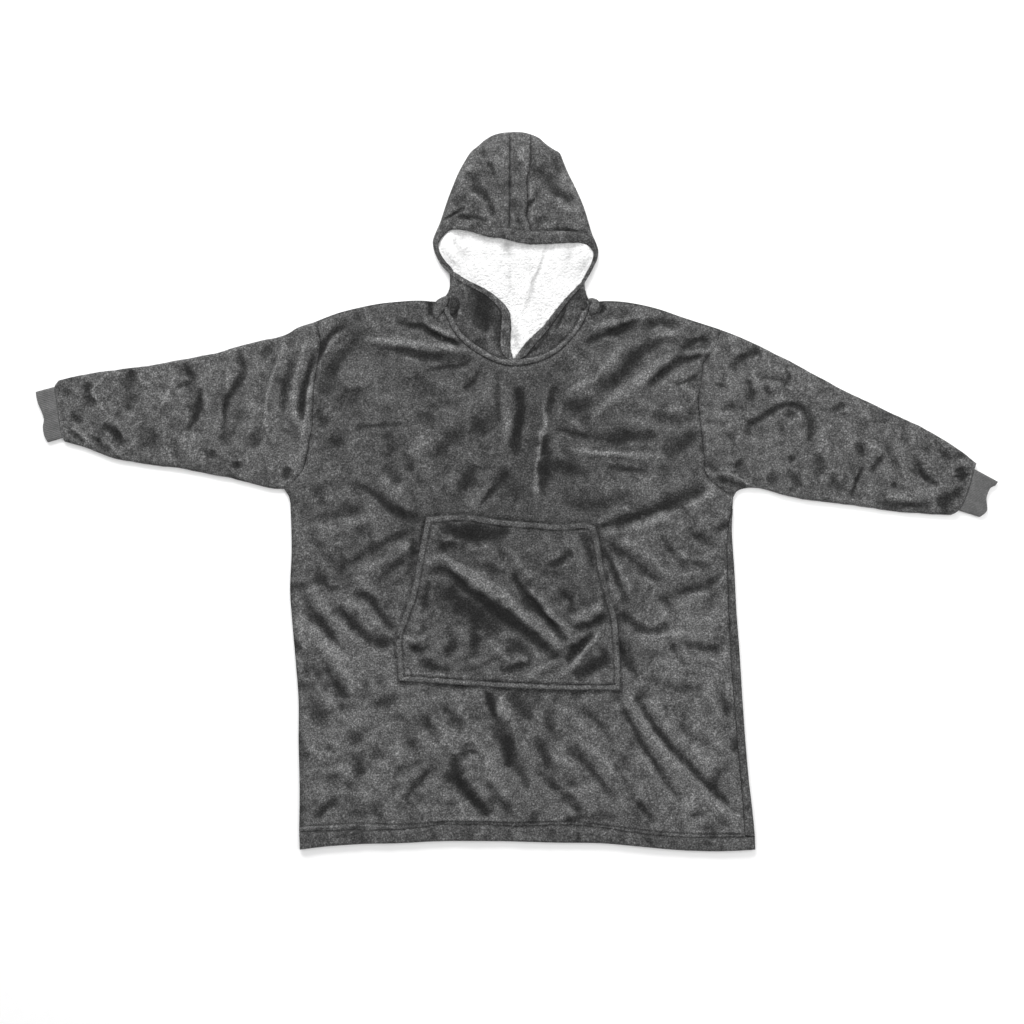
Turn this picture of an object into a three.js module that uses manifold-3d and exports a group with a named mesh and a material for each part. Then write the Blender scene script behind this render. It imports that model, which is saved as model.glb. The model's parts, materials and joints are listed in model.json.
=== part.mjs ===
// Oversized blanket hoodie laid out flat on its back, front up, at real size.
//
// Frame: millimetres, +Z up. The wearer's left is +X, the hood is at +Y, and
// the garment rests on z = 0. Every panel is cloth: a closed wall with an outer
// and an inner face. Seams are shared polylines, and the panels on each side of
// a seam stop just short of it.

import * as THREE from 'three';
import Module from 'manifold-3d';
import { mergeVertices } from 'three/addons/utils/BufferGeometryUtils.js';

// ---------------------------------------------------------------- driving sizes
const WALL = 4.0; // plush outer cloth with its sherpa backing
const RIB_WALL = 2.8; // knitted cuff
const POCKET_WALL = 2.6; // single plush cloth
const GAP = 0.4; // clearance between cloths
const SEAM = 0.6; // clearance at a sewn seam, measured across the garment
const LAYER = WALL + GAP; // underside of the upper cloth
const TOP = LAYER + WALL; // upper face of the upper cloth
const MID = LAYER - GAP / 2; // level at which the two cloths of a tube meet
const NECK_RISE = 3.6; // the front panel climbs to the neck seam
const NECK_RISE_REACH = 45;
const SEAM_PRESS = 2.4; // how much the front thins at the pressed side seam
const SEAM_PRESS_REACH = 14;
const ROLL = 5; // radius of the rolled side of the back panel
const HOOD_FOLD_Z = 7; // level of the fold round the hood's outline
const HOOD_WALL = 3.6;
const HOOD_EDGE = 40; // how far the hood rounds down towards its outline
const HOOD_UNDER_EDGE = 12;
const CUFF_TOP = 6.6;
const BRIM_HEIGHT = 7.5;
const LINING_UNDER = LAYER;
const LINING_WALL = 2.4;
const LINING_LOFT = 2.0; // extra pile height towards the crown
const TRIM = 0.1; // slivers below this are merged after a cut
const FOLD_REACH = 44; // neighbourhood that the pocket clears

// ---------------------------------------------------------------- tables
const table = (columns, ...rows) => rows.map((row) => Object.fromEntries(columns.map((name, i) => [name, row[i]])));
const line = (...rows) => table(['x', 'y'], ...rows);

// front and back panels
const HEM_SEAM = line([-391, -611], [-187, -604], [-128, -597], [6, -601], [80, -598], [155, -604], [274, -619], [410, -620]);
const HEM_EDGE = line([-390, -643], [-282, -633], [-210, -631], [-138, -628], [150, -631], [294, -644], [429, -643]);
const SIDE_RIGHT = line([-391, -611], [-392, -375], [-407, -177], [-408, -11], [-418, 5]);
const SIDE_LEFT = line([410, -620], [377, -87], [389, -10]); // side seam, rolled on to the front
const ROLLED_EDGE = line([428, -618], [411, -447], [386, -69], [389, -10]); // outline on that side
const ARMHOLE_RIGHT = line([-418, 5], [-388, 34], [-367, 129], [-363, 201], [-352, 264], [-362, 306]);
const ARMHOLE_LEFT = line([389, -10], [350, 19], [339, 36], [337, 57], [326, 165], [332, 201], [333, 226], [340, 243], [353, 255], [366, 291]);
const SHOULDER_RIGHT = line([-362, 306], [-318, 322], [-246, 338], [-174, 343], [-136, 340]);
const SHOULDER_LEFT = line([132, 340], [186, 342], [258, 327], [366, 291]);
const NECK_FRONT = line([-136, 340], [-113, 289], [-74, 252], [-5, 227], [70, 251], [110, 291], [132, 340]);
const NECK_BACK = line([-136, 340], [-70, 326], [0, 322], [70, 326], [132, 340]);

// sleeves and cuffs
const SLEEVE_RIGHT = {
  top: line([-362, 306], [-394, 295], [-416, 282], [-502, 261], [-545, 248], [-675, 225], [-761, 214], [-823, 200]),
  under: line([-418, 5], [-442, 7], [-514, 25], [-604, 42], [-718, 59], [-813, 90]),
  end: line([-813, 90], [-819, 108], [-827, 165], [-830, 189], [-823, 200]),
  cuff: line([-843, 89], [-849, 100], [-852, 116], [-850, 129], [-861, 160], [-865, 180]),
  cuffFrom: 0.06, cuffTo: 0.88, outwards: -1,
};
const SLEEVE_LEFT = {
  top: line([366, 291], [416, 271], [589, 181], [718, 120], [798, 73], [826, 51]),
  under: line([389, -10], [396, 1], [438, 6], [504, -11], [686, -36], [780, -42]),
  end: line([780, -42], [792, -35], [812, 8], [826, 51]),
  cuff: line([832, -46], [844, -35], [844, -10], [852, 7], [860, 11], [865, 18]),
  cuffFrom: 0.15, cuffTo: 0.9, outwards: 1,
};

// hood outline, from the neck up to the centre strip
const HOOD_OUTLINE_RIGHT = line([-136, 340], [-122, 361], [-122, 396], [-135, 407], [-151, 450], [-138, 482], [-106, 570], [-82, 610], [-43, 640], [-12, 646]);
const HOOD_OUTLINE_LEFT = line([132, 340], [125, 376], [144, 417], [146, 433], [135, 462], [114, 527], [90, 576], [77, 608], [65, 615], [40, 635], [27, 641]);
const HOOD_CROWN = line([-12, 646], [13, 645], [27, 641]);
const STRIP_SEAM = table(['y', 'right', 'left'], [300, -17, 22], [445, -13, 17], [520, -12.5, 17], [600, -12.3, 27], [680, -12.3, 27]);
const HOOD_HEIGHT = table(['y', 'z'], [200, 12.4], [340, 12.8], [400, 17], [445, 23], [480, 27], [560, 28.5], [650, 24]);

// edge of the face opening, with the width of the turned brim and the level of its underside
const OPENING = table(['x', 'y', 'band', 'under'],
  [-5, 241, 7, 9], [-10, 253, 14, 9], [-11, 273, 17, 9], [-10, 297, 18, 9], [-12, 322, 15, 9], [-21, 337, 13, 9.4],
  [-36, 351, 11, 9.6], [-72, 373, 9, 9.6], [-104, 395, 7, 9], [-125, 418, 5, 8.4], [-136, 444, 5, 8.4], [-126, 465, 10, 12],
  [-106, 472, 18, 16], [-68, 464, 19, 17.4], [-25, 456, 19, 18], [24, 445, 23, 18], [56, 446, 23, 17.4], [88, 448, 21, 16],
  [117, 448, 14, 13], [130, 440, 7, 9.4], [133, 424, 5, 8.6], [121, 397, 5, 8.6], [97, 364, 6, 9], [79, 343, 8, 9],
  [49, 301, 11, 9], [33, 285, 12.6, 9], [16, 269, 14, 9], [4, 253, 14, 9]);

const LINING = {
  bottom: line([-20, 232], [-5, 231], [10, 232]),
  top: line([-117, 476], [-84, 482], [24, 466], [78, 463], [117, 458]),
  right: line([-20, 232], [-31, 264], [-32, 313], [-41, 333], [-95, 371], [-108, 401], [-127, 437], [-124, 461], [-117, 476]),
  left: line([10, 232], [36, 252], [67, 290], [90, 331], [101, 354], [105, 378], [113, 397], [124, 420], [123, 445], [117, 458]),
};

const POCKET = {
  top: line([-163, -46], [-97, -41], [-28, -51], [80, -59], [128, -56], [141, -64]),
  bottom: line([-212, -340], [114, -356], [186, -356]),
  right: line([-212, -340], [-217, -261], [-190, -184], [-163, -46]),
  left: line([186, -356], [180, -234], [157, -144], [148, -89], [141, -64]),
};

// largest folds: a ridge from one point to another, its half width and height
const FOLDS = table(['x1', 'y1', 'x2', 'y2', 'reach', 'height'],
  [-271, 273, -175, 260, 30, 6], [-175, 260, -99, 253, 28, 5], // below the right shoulder
  [-297, 302, -376, 165, 30, 6], // beside the right armhole
  [207, 192, 308, 275, 34, 7], [141, 129, 207, 180, 28, 4], [78, 93, 312, 62, 32, 6], // left chest
  [52, 170, 36, -29, 28, 5], // centre
  [-297, -209, -219, -261, 28, 5], [-264, -150, -189, -92, 26, 4], [-363, -267, -300, -348, 26, 4], // right side
  [207, -389, 294, -519, 34, 6], [294, -519, 396, -587, 34, 5], [159, -402, 240, -537, 28, 4]); // lower left
const POCKET_FOLDS = table(['x1', 'y1', 'x2', 'y2', 'reach', 'height'],
  [-138, -123, -20, -215, 34, 6], [-20, -215, 92, -288, 34, 5], [105, -225, 150, -200, 28, 3]);
const SLEEVE_FOLDS = table(['x1', 'y1', 'x2', 'y2', 'reach', 'height'],
  [-376, 295, -408, 120, 24, 6], [-412, 273, -445, 140, 26, 6], [-445, 140, -430, 84, 26, 5], [-426, 54, -444, 21, 22, 4],
  [-729, 216, -759, 171, 24, 5], [-759, 171, -712, 110, 24, 4], [-619, 192, -651, 135, 26, 5], [-628, 120, -615, 57, 26, 4],
  [440, 225, 520, 120, 34, 3], [560, 120, 640, 60, 34, 3], [659, -9, 735, -9, 24, 4], [430, 60, 520, 45, 28, 3]);

// stations along each seam
const N_NECK = 10, N_SHOULDER = 5, N_ARM = 8, N_SIDE = 12, N_ACROSS = N_NECK + 2 * N_SHOULDER;
const N_SLEEVE = 9, N_HOOD = 15, N_CUFF = 6;

// ---------------------------------------------------------------- curves
const clamp = (t, lo = 0, hi = 1) => Math.min(hi, Math.max(lo, t));
const ease = (t) => { const c = clamp(t); return c * c * (3 - 2 * c); };
const round = (t) => Math.sqrt(1 - (1 - clamp(t)) ** 2); // quarter ellipse, 0 to 1
const point = (x, y, z = 0) => new THREE.Vector3(x, y, z);

// a seam: the smooth curve through a table's rows, cut into n straight stitches
function seam(rows, n) {
  const curve = new THREE.CatmullRomCurve3(rows.map((row) => point(row.x, row.y)), false, 'centripetal');
  curve.arcLengthDivisions = 400;
  return polyline(curve.getSpacedPoints(n));
}
function polyline(points) {
  const n = points.length - 1;
  const at = (t) => {
    const s = clamp(t) * n;
    const i = Math.min(Math.floor(s), n - 1);
    return points[i].clone().lerp(points[i + 1], s - i);
  };
  return { n, points, at };
}
const chain = (...parts) => polyline(parts.flatMap((part, i) => (i ? part.points.slice(1) : part.points)));
const reversed = (part) => polyline(part.points.slice().reverse());
const shifted = (part, dx, dy = 0) => polyline(part.points.map((p) => point(p.x + dx, p.y + dy)));
const span = (part, from, to, n) => polyline(Array.from({ length: n + 1 }, (_, i) => part.at(from + ((to - from) * i) / n)));
const straight = (a, b, n = 1) => polyline(Array.from({ length: n + 1 }, (_, i) => a.clone().lerp(b, i / n)));

function distance(part, x, y) {
  let best = Infinity;
  for (let i = 0; i < part.n; i++) {
    const a = part.points[i], b = part.points[i + 1];
    const dx = b.x - a.x, dy = b.y - a.y;
    const t = clamp(((x - a.x) * dx + (y - a.y) * dy) / (dx * dx + dy * dy));
    best = Math.min(best, Math.hypot(x - a.x - t * dx, y - a.y - t * dy));
  }
  return best;
}

// the plane patch between four edges that meet at their ends
function patch(bottom, top, left, right) {
  const c00 = bottom.at(0), c10 = bottom.at(1), c01 = top.at(0), c11 = top.at(1);
  return (u, v) => {
    const b = bottom.at(u), t = top.at(u), l = left.at(v), r = right.at(v);
    const mix = (k) => (1 - v) * b[k] + v * t[k] + (1 - u) * l[k] + u * r[k]
      - ((1 - u) * (1 - v) * c00[k] + u * (1 - v) * c10[k] + (1 - u) * v * c01[k] + u * v * c11[k]);
    return point(mix('x'), mix('y'));
  };
}
const even = (n) => Array.from({ length: n + 1 }, (_, i) => i / n);
const net = (at, us, vs, level) => vs.map((v) => us.map((u) => {
  const p = at(u, v);
  return point(p.x, p.y, level(p.x, p.y));
}));
const grid = (at, columns, rows, level) => net(at, even(columns), even(rows), level);

// ---------------------------------------------------------------- solids
function solid(vertices, triangles) {
  let volume = 0;
  for (const [a, b, c] of triangles) volume += vertices[a].dot(vertices[b].clone().cross(vertices[c]));
  const facing = volume < 0 ? triangles.map(([a, b, c]) => [a, c, b]) : triangles;
  const geometry = new THREE.BufferGeometry();
  geometry.setAttribute('position', new THREE.Float32BufferAttribute(vertices.flatMap((p) => [p.x, p.y, p.z]), 3));
  geometry.setIndex(facing.flat());
  return geometry;
}
const quad = (a, b, c, d) => [[a, b, c], [a, c, d]];

// cloth between an upper and a lower net of points
function sheet(upper, lower) {
  const rows = upper.length, columns = upper[0].length, count = rows * columns;
  const id = (j, i) => j * columns + i;
  const triangles = [];
  for (let j = 0; j < rows - 1; j++) {
    for (let i = 0; i < columns - 1; i++) {
      const q = [id(j, i), id(j, i + 1), id(j + 1, i + 1), id(j + 1, i)];
      triangles.push(...quad(...q), ...quad(...q.map((k) => k + count).reverse()));
    }
  }
  const rim = [];
  for (let i = 0; i < columns - 1; i++) rim.push([id(0, i), id(0, i + 1)], [id(rows - 1, i + 1), id(rows - 1, i)]);
  for (let j = 0; j < rows - 1; j++) rim.push([id(j, columns - 1), id(j + 1, columns - 1)], [id(j + 1, 0), id(j, 0)]);
  for (const [a, b] of rim) triangles.push(...quad(a + count, b + count, b, a));
  return solid([...upper.flat(), ...lower.flat()], triangles);
}

// cloth round a tube, from outer and inner rings, open at both ends
function tube(outer, inner) {
  const rows = outer.length, around = outer[0].length, count = rows * around;
  const id = (j, i) => j * around + (i % around);
  const triangles = [];
  for (let i = 0; i < around; i++) {
    for (let j = 0; j < rows - 1; j++) {
      const q = [id(j, i), id(j, i + 1), id(j + 1, i + 1), id(j + 1, i)];
      triangles.push(...quad(...q), ...quad(...q.map((k) => k + count).reverse()));
    }
    triangles.push(...quad(id(0, i) + count, id(0, i + 1) + count, id(0, i + 1), id(0, i)));
    triangles.push(...quad(id(rows - 1, i), id(rows - 1, i + 1), id(rows - 1, i + 1) + count, id(rows - 1, i) + count));
  }
  return solid([...outer.flat(), ...inner.flat()], triangles);
}

// a ring of sections that closes on itself
function closedRing(sections) {
  const rows = sections.length, around = sections[0].length;
  const id = (j, i) => (j % rows) * around + (i % around);
  const triangles = [];
  for (let j = 0; j < rows; j++) for (let i = 0; i < around; i++) triangles.push(...quad(id(j, i), id(j, i + 1), id(j + 1, i + 1), id(j + 1, i)));
  return solid(sections.flat(), triangles);
}

// a flat slab inside an outline, with softened edges
function slab(outline, height, soften) {
  const n = outline.length;
  const inset = (amount) => outline.map((p, i) => {
    const a = outline[(i + n - 1) % n], b = outline[(i + 1) % n];
    const along = point(b.x - a.x, b.y - a.y).normalize();
    return point(p.x - along.y * amount, p.y + along.x * amount);
  });
  const levels = [[soften, 0], [0, height * 0.3], [0, height * 0.7], [soften, height]];
  const loops = levels.map(([amount, z]) => inset(amount).map((p) => point(p.x, p.y, z)));
  const triangles = [];
  for (let k = 0; k < loops.length - 1; k++) {
    for (let i = 0; i < n; i++) triangles.push(...quad(k * n + i, k * n + ((i + 1) % n), (k + 1) * n + ((i + 1) % n), (k + 1) * n + i));
  }
  const face = THREE.ShapeUtils.triangulateShape(loops[0].map((p) => new THREE.Vector2(p.x, p.y)), []);
  const last = (loops.length - 1) * n;
  for (const [a, b, c] of face) triangles.push([a + last, b + last, c + last], [c, b, a]);
  return solid(loops.flat(), triangles);
}

// a prism over a plane outline
function prism(outline, from, to) {
  const shape = new THREE.Shape(outline.map((p) => new THREE.Vector2(p.x, p.y)));
  const geometry = new THREE.ExtrudeGeometry(shape, { depth: to - from, bevelEnabled: false });
  geometry.translate(0, 0, from);
  return geometry;
}

// a flattened tube over a patch: u crosses the tube, v runs along it
const EDGE = table(['outer', 'outerRise', 'inner', 'innerRise'], [0, 0, 4, 0], [1.5, 0.66, 4.7, 0.7], [5, 0.95, 7, 1]);
function flatTube(at, across, rows, { top, mid, wall, slit }) {
  const outer = [], inner = [];
  for (let j = 0; j <= rows; j++) {
    const v = j / rows;
    const width = at(0, v).distanceTo(at(1, v));
    const stations = (key, rise) => [
      ...EDGE.map((row) => [(row[key] * (wall / WALL)) / width, row[rise]]),
      ...Array.from({ length: across - 1 }, (_, i) => [(i + 1) / across, 1]),
      ...EDGE.slice().reverse().map((row) => [1 - (row[key] * (wall / WALL)) / width, row[rise]]),
    ];
    const ring = (key, rise, upper, lower) => {
      const list = stations(key, rise).sort((p, q) => p[0] - q[0]);
      const over = list.map(([u, r]) => { const p = at(u, v); return point(p.x, p.y, mid + r * (upper(p.x, p.y) - mid)); });
      const below = list.slice(1, -1).reverse().map(([u, r]) => { const p = at(u, v); return point(p.x, p.y, mid - r * (mid - lower)); });
      return [...over, ...below];
    };
    outer.push(ring('outer', 'outerRise', top, 0));
    inner.push(ring('inner', 'innerRise', (x, y) => top(x, y) - wall, mid - slit));
  }
  return tube(outer, inner);
}

// ---------------------------------------------------------------- heights
function ridges(rows) {
  return (x, y) => rows.reduce((sum, row) => {
    const dx = row.x2 - row.x1, dy = row.y2 - row.y1;
    const t = clamp(((x - row.x1) * dx + (y - row.y1) * dy) / (dx * dx + dy * dy));
    const d = Math.hypot(x - row.x1 - t * dx, y - row.y1 - t * dy) / row.reach;
    return sum + (d < 1 ? row.height * (1 - d * d) ** 2 : 0);
  }, 0);
}
function lookup(rows, key, at, value) {
  const i = clamp(rows.findIndex((row) => row[key] >= at), 1, rows.length - 1);
  const a = rows[i - 1], b = rows[i];
  return a[value] + (b[value] - a[value]) * ease((at - a[key]) / (b[key] - a[key]));
}

const neckFront = seam(NECK_FRONT, N_NECK);
const neckBack = seam(NECK_BACK, 8);
const sideRight = seam(SIDE_RIGHT, N_SIDE);
const sideLeft = seam(SIDE_LEFT, N_SIDE);
const rolledEdge = seam(ROLLED_EDGE, N_SIDE);
const armholeRight = seam(ARMHOLE_RIGHT, N_ARM);
const armholeLeft = seam(ARMHOLE_LEFT, N_ARM);
const shoulderRight = seam(SHOULDER_RIGHT, N_SHOULDER);
const shoulderLeft = seam(SHOULDER_LEFT, N_SHOULDER);
const hemSeam = seam(HEM_SEAM, N_ACROSS);

const bodyFolds = ridges(FOLDS);
const sleeveFolds = ridges(SLEEVE_FOLDS);
const neckRise = (x, y) => NECK_RISE * (1 - ease(distance(neckFront, x, y) / NECK_RISE_REACH));
const frontUnder = (x, y) => LAYER + bodyFolds(x, y) * ease(distance(sideRight, x, y) / 30) + neckRise(x, y);
const frontTop = (x, y) => frontUnder(x, y) + WALL - SEAM_PRESS * (1 - ease(distance(sideRight, x, y) / SEAM_PRESS_REACH));

// ---------------------------------------------------------------- body panels
const frontPatch = patch(hemSeam, chain(shoulderRight, neckFront, shoulderLeft), chain(sideRight, armholeRight), chain(sideLeft, armholeLeft));
const bodyFront = sheet(
  grid(frontPatch, N_ACROSS, N_SIDE + N_ARM, frontTop),
  grid(frontPatch, N_ACROSS, N_SIDE + N_ARM, frontUnder));

const wasm = await Module();
wasm.setup();
function closed(geometry) {
  const bare = geometry.clone();
  for (const name of Object.keys(bare.attributes)) if (name !== 'position') bare.deleteAttribute(name);
  const merged = mergeVertices(bare, 1e-4);
  return new wasm.Manifold(new wasm.Mesh({
    numProp: 3,
    vertProperties: new Float32Array(merged.attributes.position.array),
    triVerts: new Uint32Array(merged.index.array),
  }));
}
function opened(manifold) {
  const mesh = manifold.simplify(TRIM).getMesh();
  const geometry = new THREE.BufferGeometry();
  const positions = [];
  for (let i = 0; i < mesh.numVert; i++) positions.push(...mesh.vertProperties.slice(i * mesh.numProp, i * mesh.numProp + 3));
  geometry.setAttribute('position', new THREE.Float32BufferAttribute(positions, 3));
  geometry.setIndex(Array.from(mesh.triVerts));
  return geometry;
}

// the back panel lies on the surface; its left side rolls over on to the front
const ROLL_END = 0.9; // share of the side over which the roll is wide enough to show
const backOutline = [
  ...hemSeam.points,
  ...rolledEdge.points.map((p, i) => point(p.x - ROLL * (i / rolledEdge.n < ROLL_END ? 1 : 0), p.y)),
  ...armholeLeft.points.slice(1), ...reversed(shoulderLeft).points.slice(1),
  ...reversed(shifted(neckBack, 0, -SEAM / 2)).points.slice(1, -1),
  ...reversed(shoulderRight).points, ...reversed(armholeRight).points.slice(1), ...reversed(sideRight).points.slice(1, -1),
];
const ROLL_SECTION = table(['across', 'outerOff', 'outerZ', 'innerOff', 'innerZ'],
  [0, 0, 8.2, 0, 4.7], [0.5, 0, 8.4, 0, 4.7], [1, 3.4, 7.9, 5, 4.7], [1, 0.7, 6.1, 4.6, 4.5],
  [1, 0, 4.2, 4.4, 4.2], [1, 0.8, 2, 4.6, 4.0], [1, 4, 0.3, 6, 3.9], [1, 13, 0.1, 13, 3.9]);
const rollRows = Math.round(N_SIDE * ROLL_END);
const rollNet = (off, level) => Array.from({ length: rollRows + 1 }, (_, j) => {
  const from = sideLeft.at(j / N_SIDE), to = rolledEdge.at(j / N_SIDE);
  const start = from.x + SEAM;
  return ROLL_SECTION.map((row) => {
    const fold = to.x - row[off];
    const reach = row.across < 1 ? start + (Math.max(start + 1, to.x - 5) - start) * row.across : Math.max(fold, row[level] > 5 ? start + 1.2 : fold);
    return point(reach, from.y + (to.y - from.y) * row.across, row[level]);
  });
});
const roll = sheet(rollNet('outerOff', 'outerZ'), rollNet('innerOff', 'innerZ'));
const bodyBack = opened(closed(slab(backOutline, WALL, 1.6)).add(closed(roll)));

// ---------------------------------------------------------------- hem, sleeves, cuffs
const hemTop = shifted(chain(hemSeam, straight(hemSeam.at(1), rolledEdge.at(0))), 0, -SEAM);
const hemEdge = seam(HEM_EDGE, hemTop.n);
const hemBand = flatTube(
  patch(hemTop, hemEdge, straight(hemTop.at(0), hemEdge.at(0)), straight(hemTop.at(1), hemEdge.at(1))),
  hemTop.n, 2, { top: () => TOP + 0.8, mid: MID, wall: WALL, slit: GAP / 2 });

function sleeve(cut, armhole) {
  const start = reversed(shifted(armhole, cut.outwards * SEAM));
  const end = reversed(seam(cut.end, N_ARM));
  const top = shifted(seam(cut.top, N_SLEEVE), 0), under = shifted(seam(cut.under, N_SLEEVE), 0);
  top.points[0].copy(start.at(0));
  under.points[0].copy(start.at(1));
  return flatTube(patch(start, end, top, under), N_ARM, N_SLEEVE,
    { top: (x, y) => TOP + sleeveFolds(x, y), mid: MID, wall: WALL, slit: GAP / 2 });
}
function cuff(cut) {
  const start = reversed(shifted(span(seam(cut.end, N_ARM), cut.cuffFrom, cut.cuffTo, N_CUFF), cut.outwards * (SEAM + 0.4)));
  const end = reversed(seam(cut.cuff, N_CUFF));
  return flatTube(patch(start, end, straight(start.at(0), end.at(0)), straight(start.at(1), end.at(1))), N_CUFF, 2,
    { top: () => CUFF_TOP, mid: CUFF_TOP / 2, wall: RIB_WALL, slit: GAP / 2 });
}

// ---------------------------------------------------------------- hood
const outlineRight = seam(HOOD_OUTLINE_RIGHT, N_HOOD);
const outlineLeft = seam(HOOD_OUTLINE_LEFT, N_HOOD);
const crown = seam(HOOD_CROWN, N_NECK);
const hoodOutline = chain(outlineRight, crown, reversed(outlineLeft));
const fromOutline = (x, y) => distance(hoodOutline, x, y);
const hoodTop = (x, y) => HOOD_FOLD_Z + 0.4 + (lookup(HOOD_HEIGHT, 'y', y, 'z') - HOOD_FOLD_Z) * round(fromOutline(x, y) / HOOD_EDGE);
const hoodUnder = (x, y) => (HOOD_FOLD_Z - 0.4) * (1 - round(fromOutline(x, y) / HOOD_UNDER_EDGE));
const hollowTop = (x, y) => HOOD_FOLD_Z + 0.2 + (lookup(HOOD_HEIGHT, 'y', y, 'z') - HOOD_WALL - HOOD_FOLD_Z) * round((fromOutline(x, y) - HOOD_WALL) / HOOD_EDGE);
const hollowUnder = (x, y) => HOOD_WALL + (HOOD_FOLD_Z - 0.2 - HOOD_WALL) * (1 - round((fromOutline(x, y) - HOOD_WALL) / HOOD_UNDER_EDGE));

function drawnIn(part, side) {
  return polyline(part.points.map((p, i) => {
    const a = part.points[Math.max(0, i - 1)], b = part.points[Math.min(part.n, i + 1)];
    const along = point(b.x - a.x, b.y - a.y).normalize();
    return point(p.x + side * along.y * HOOD_WALL, p.y - side * along.x * HOOD_WALL);
  }));
}
const hoodPatch = patch(neckFront, crown, outlineRight, outlineLeft);
const hollowRight = drawnIn(outlineRight, 1), hollowLeft = drawnIn(outlineLeft, -1);
const hollowCrown = straight(hollowRight.at(1), hollowLeft.at(1), N_NECK);
const hollowNeck = polyline(neckFront.points.map((p, i) => (i === 0 ? hollowRight.at(0) : i === N_NECK ? hollowLeft.at(0) : point(p.x, p.y - 14))));
const hollowPatch = patch(hollowNeck, hollowCrown, hollowRight, hollowLeft);
const closer = [0.02, 0.05]; // extra stations where the hood rounds down to its outline
const hoodAcross = [...even(N_NECK), ...closer, ...closer.map((t) => 1 - t)].sort((a, b) => a - b);
const hoodAlong = [...even(N_HOOD), 0.975].sort((a, b) => a - b);
const pillow = (at, upper, lower) => closed(sheet(net(at, hoodAcross, hoodAlong, upper), net(at, hoodAcross, hoodAlong, lower)));
const hoodOuter = pillow(hoodPatch, hoodTop, hoodUnder);
const hollow = pillow(hollowPatch, hollowTop, hollowUnder);

// the brim: stations round the edge of the face opening, with the way out from it
const BRIM_STEPS = 2;
const brimStations = (() => {
  const n = OPENING.length * BRIM_STEPS;
  const curve = new THREE.CatmullRomCurve3(OPENING.map((row) => point(row.x, row.y, row.band)), true, 'centripetal');
  const levels = new THREE.CatmullRomCurve3(OPENING.map((row) => point(row.x, row.y, row.under)), true, 'centripetal');
  const points = Array.from({ length: n }, (_, i) => curve.getPoint(i / n));
  return points.map((p, i) => {
    const a = points[(i + n - 1) % n], b = points[(i + 1) % n];
    const along = point(b.x - a.x, b.y - a.y).normalize();
    return { x: p.x, y: p.y, band: p.z, under: levels.getPoint(i / n).z, outX: -along.y, outY: along.x };
  });
})();
const brimPoint = (s, share, extra, z) => point(s.x + s.outX * (s.band * share + extra), s.y + s.outY * (s.band * share + extra), z);
const BRIM_SECTION = table(['share', 'rise'], [0, 0.5], [0.18, 0.95], [0.6, 1], [1, 0.75], [1, 0.1], [0.3, 0]);
const hoodBrim = closedRing(brimStations.map((s) => BRIM_SECTION.map((row) => brimPoint(s, row.share, 0, s.under + BRIM_HEIGHT * row.rise))));

// the opening goes through the upper cloth, and the neck of the hood's back ends at the back neck seam
const FAR = 900;
const openingCut = closed(prism(brimStations.map((s) => brimPoint(s, 1, GAP, 0)), HOOD_FOLD_Z + 0.1, 80));
const neckCut = closed(prism([...shifted(neckBack, 0, SEAM / 2).points, point(FAR, 340), point(FAR, 0), point(-FAR, 0), point(-FAR, 340)], -5, TOP));
const hood = hoodOuter.subtract(hollow).subtract(openingCut).subtract(neckCut);

const stripEdge = (key, dx) => STRIP_SEAM.map((row) => point(row[key] + dx, row.y));
const V = OPENING[0].x;
const rightSide = prism([...stripEdge('right', -GAP / 2), point(-FAR, 680), point(-FAR, 100), point(V - GAP / 2, 100), point(V - GAP / 2, 299.5)], -5, 90);
const leftSide = prism([...stripEdge('left', GAP / 2), point(FAR, 680), point(FAR, 100), point(V + GAP / 2, 100), point(V + GAP / 2, 299.5)], -5, 90);
const stripSide = prism([...stripEdge('right', GAP / 2), ...stripEdge('left', -GAP / 2).reverse()], -5, 90);
const liningPatch = patch(seam(LINING.bottom, 8), seam(LINING.top, 8), seam(LINING.right, 12), seam(LINING.left, 12));
const liningOutline = chain(reversed(seam(LINING.right, 12)), seam(LINING.bottom, 8), seam(LINING.left, 12), reversed(seam(LINING.top, 8)));
const liningUnder = (x, y) => Math.max(LINING_UNDER + 0.5 * ease((y - 330) / 20), y > 335 ? hollowUnder(x, y) + 2.2 : 0);
const liningTop = (x, y) => liningUnder(x, y) + LINING_WALL + LINING_LOFT * ease((y - 300) / 110) * ease(distance(liningOutline, x, y) / 28);
const hoodLining = sheet(grid(liningPatch, 8, 12, liningTop), grid(liningPatch, 8, 12, liningUnder));

// ---------------------------------------------------------------- pocket
const clearOfFront = (x, y) => {
  let best = frontTop(x, y);
  for (let ring = 1; ring <= 4; ring++) {
    for (let k = 0; k < 16; k++) {
      const reach = (FOLD_REACH * ring) / 4, turn = (k * Math.PI) / 8;
      best = Math.max(best, frontTop(x + reach * Math.cos(turn), y + reach * Math.sin(turn)));
    }
  }
  return best + GAP;
};
const pocketPatch = patch(seam(POCKET.bottom, 10), seam(POCKET.top, 10), seam(POCKET.right, 9), seam(POCKET.left, 9));
const pocketFolds = ridges(POCKET_FOLDS);
const pocketNet = (extra) => grid(pocketPatch, 10, 9, (x, y) => clearOfFront(x, y) + pocketFolds(x, y) + extra);
const pocket = sheet(pocketNet(POCKET_WALL), pocketNet(0));

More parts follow.
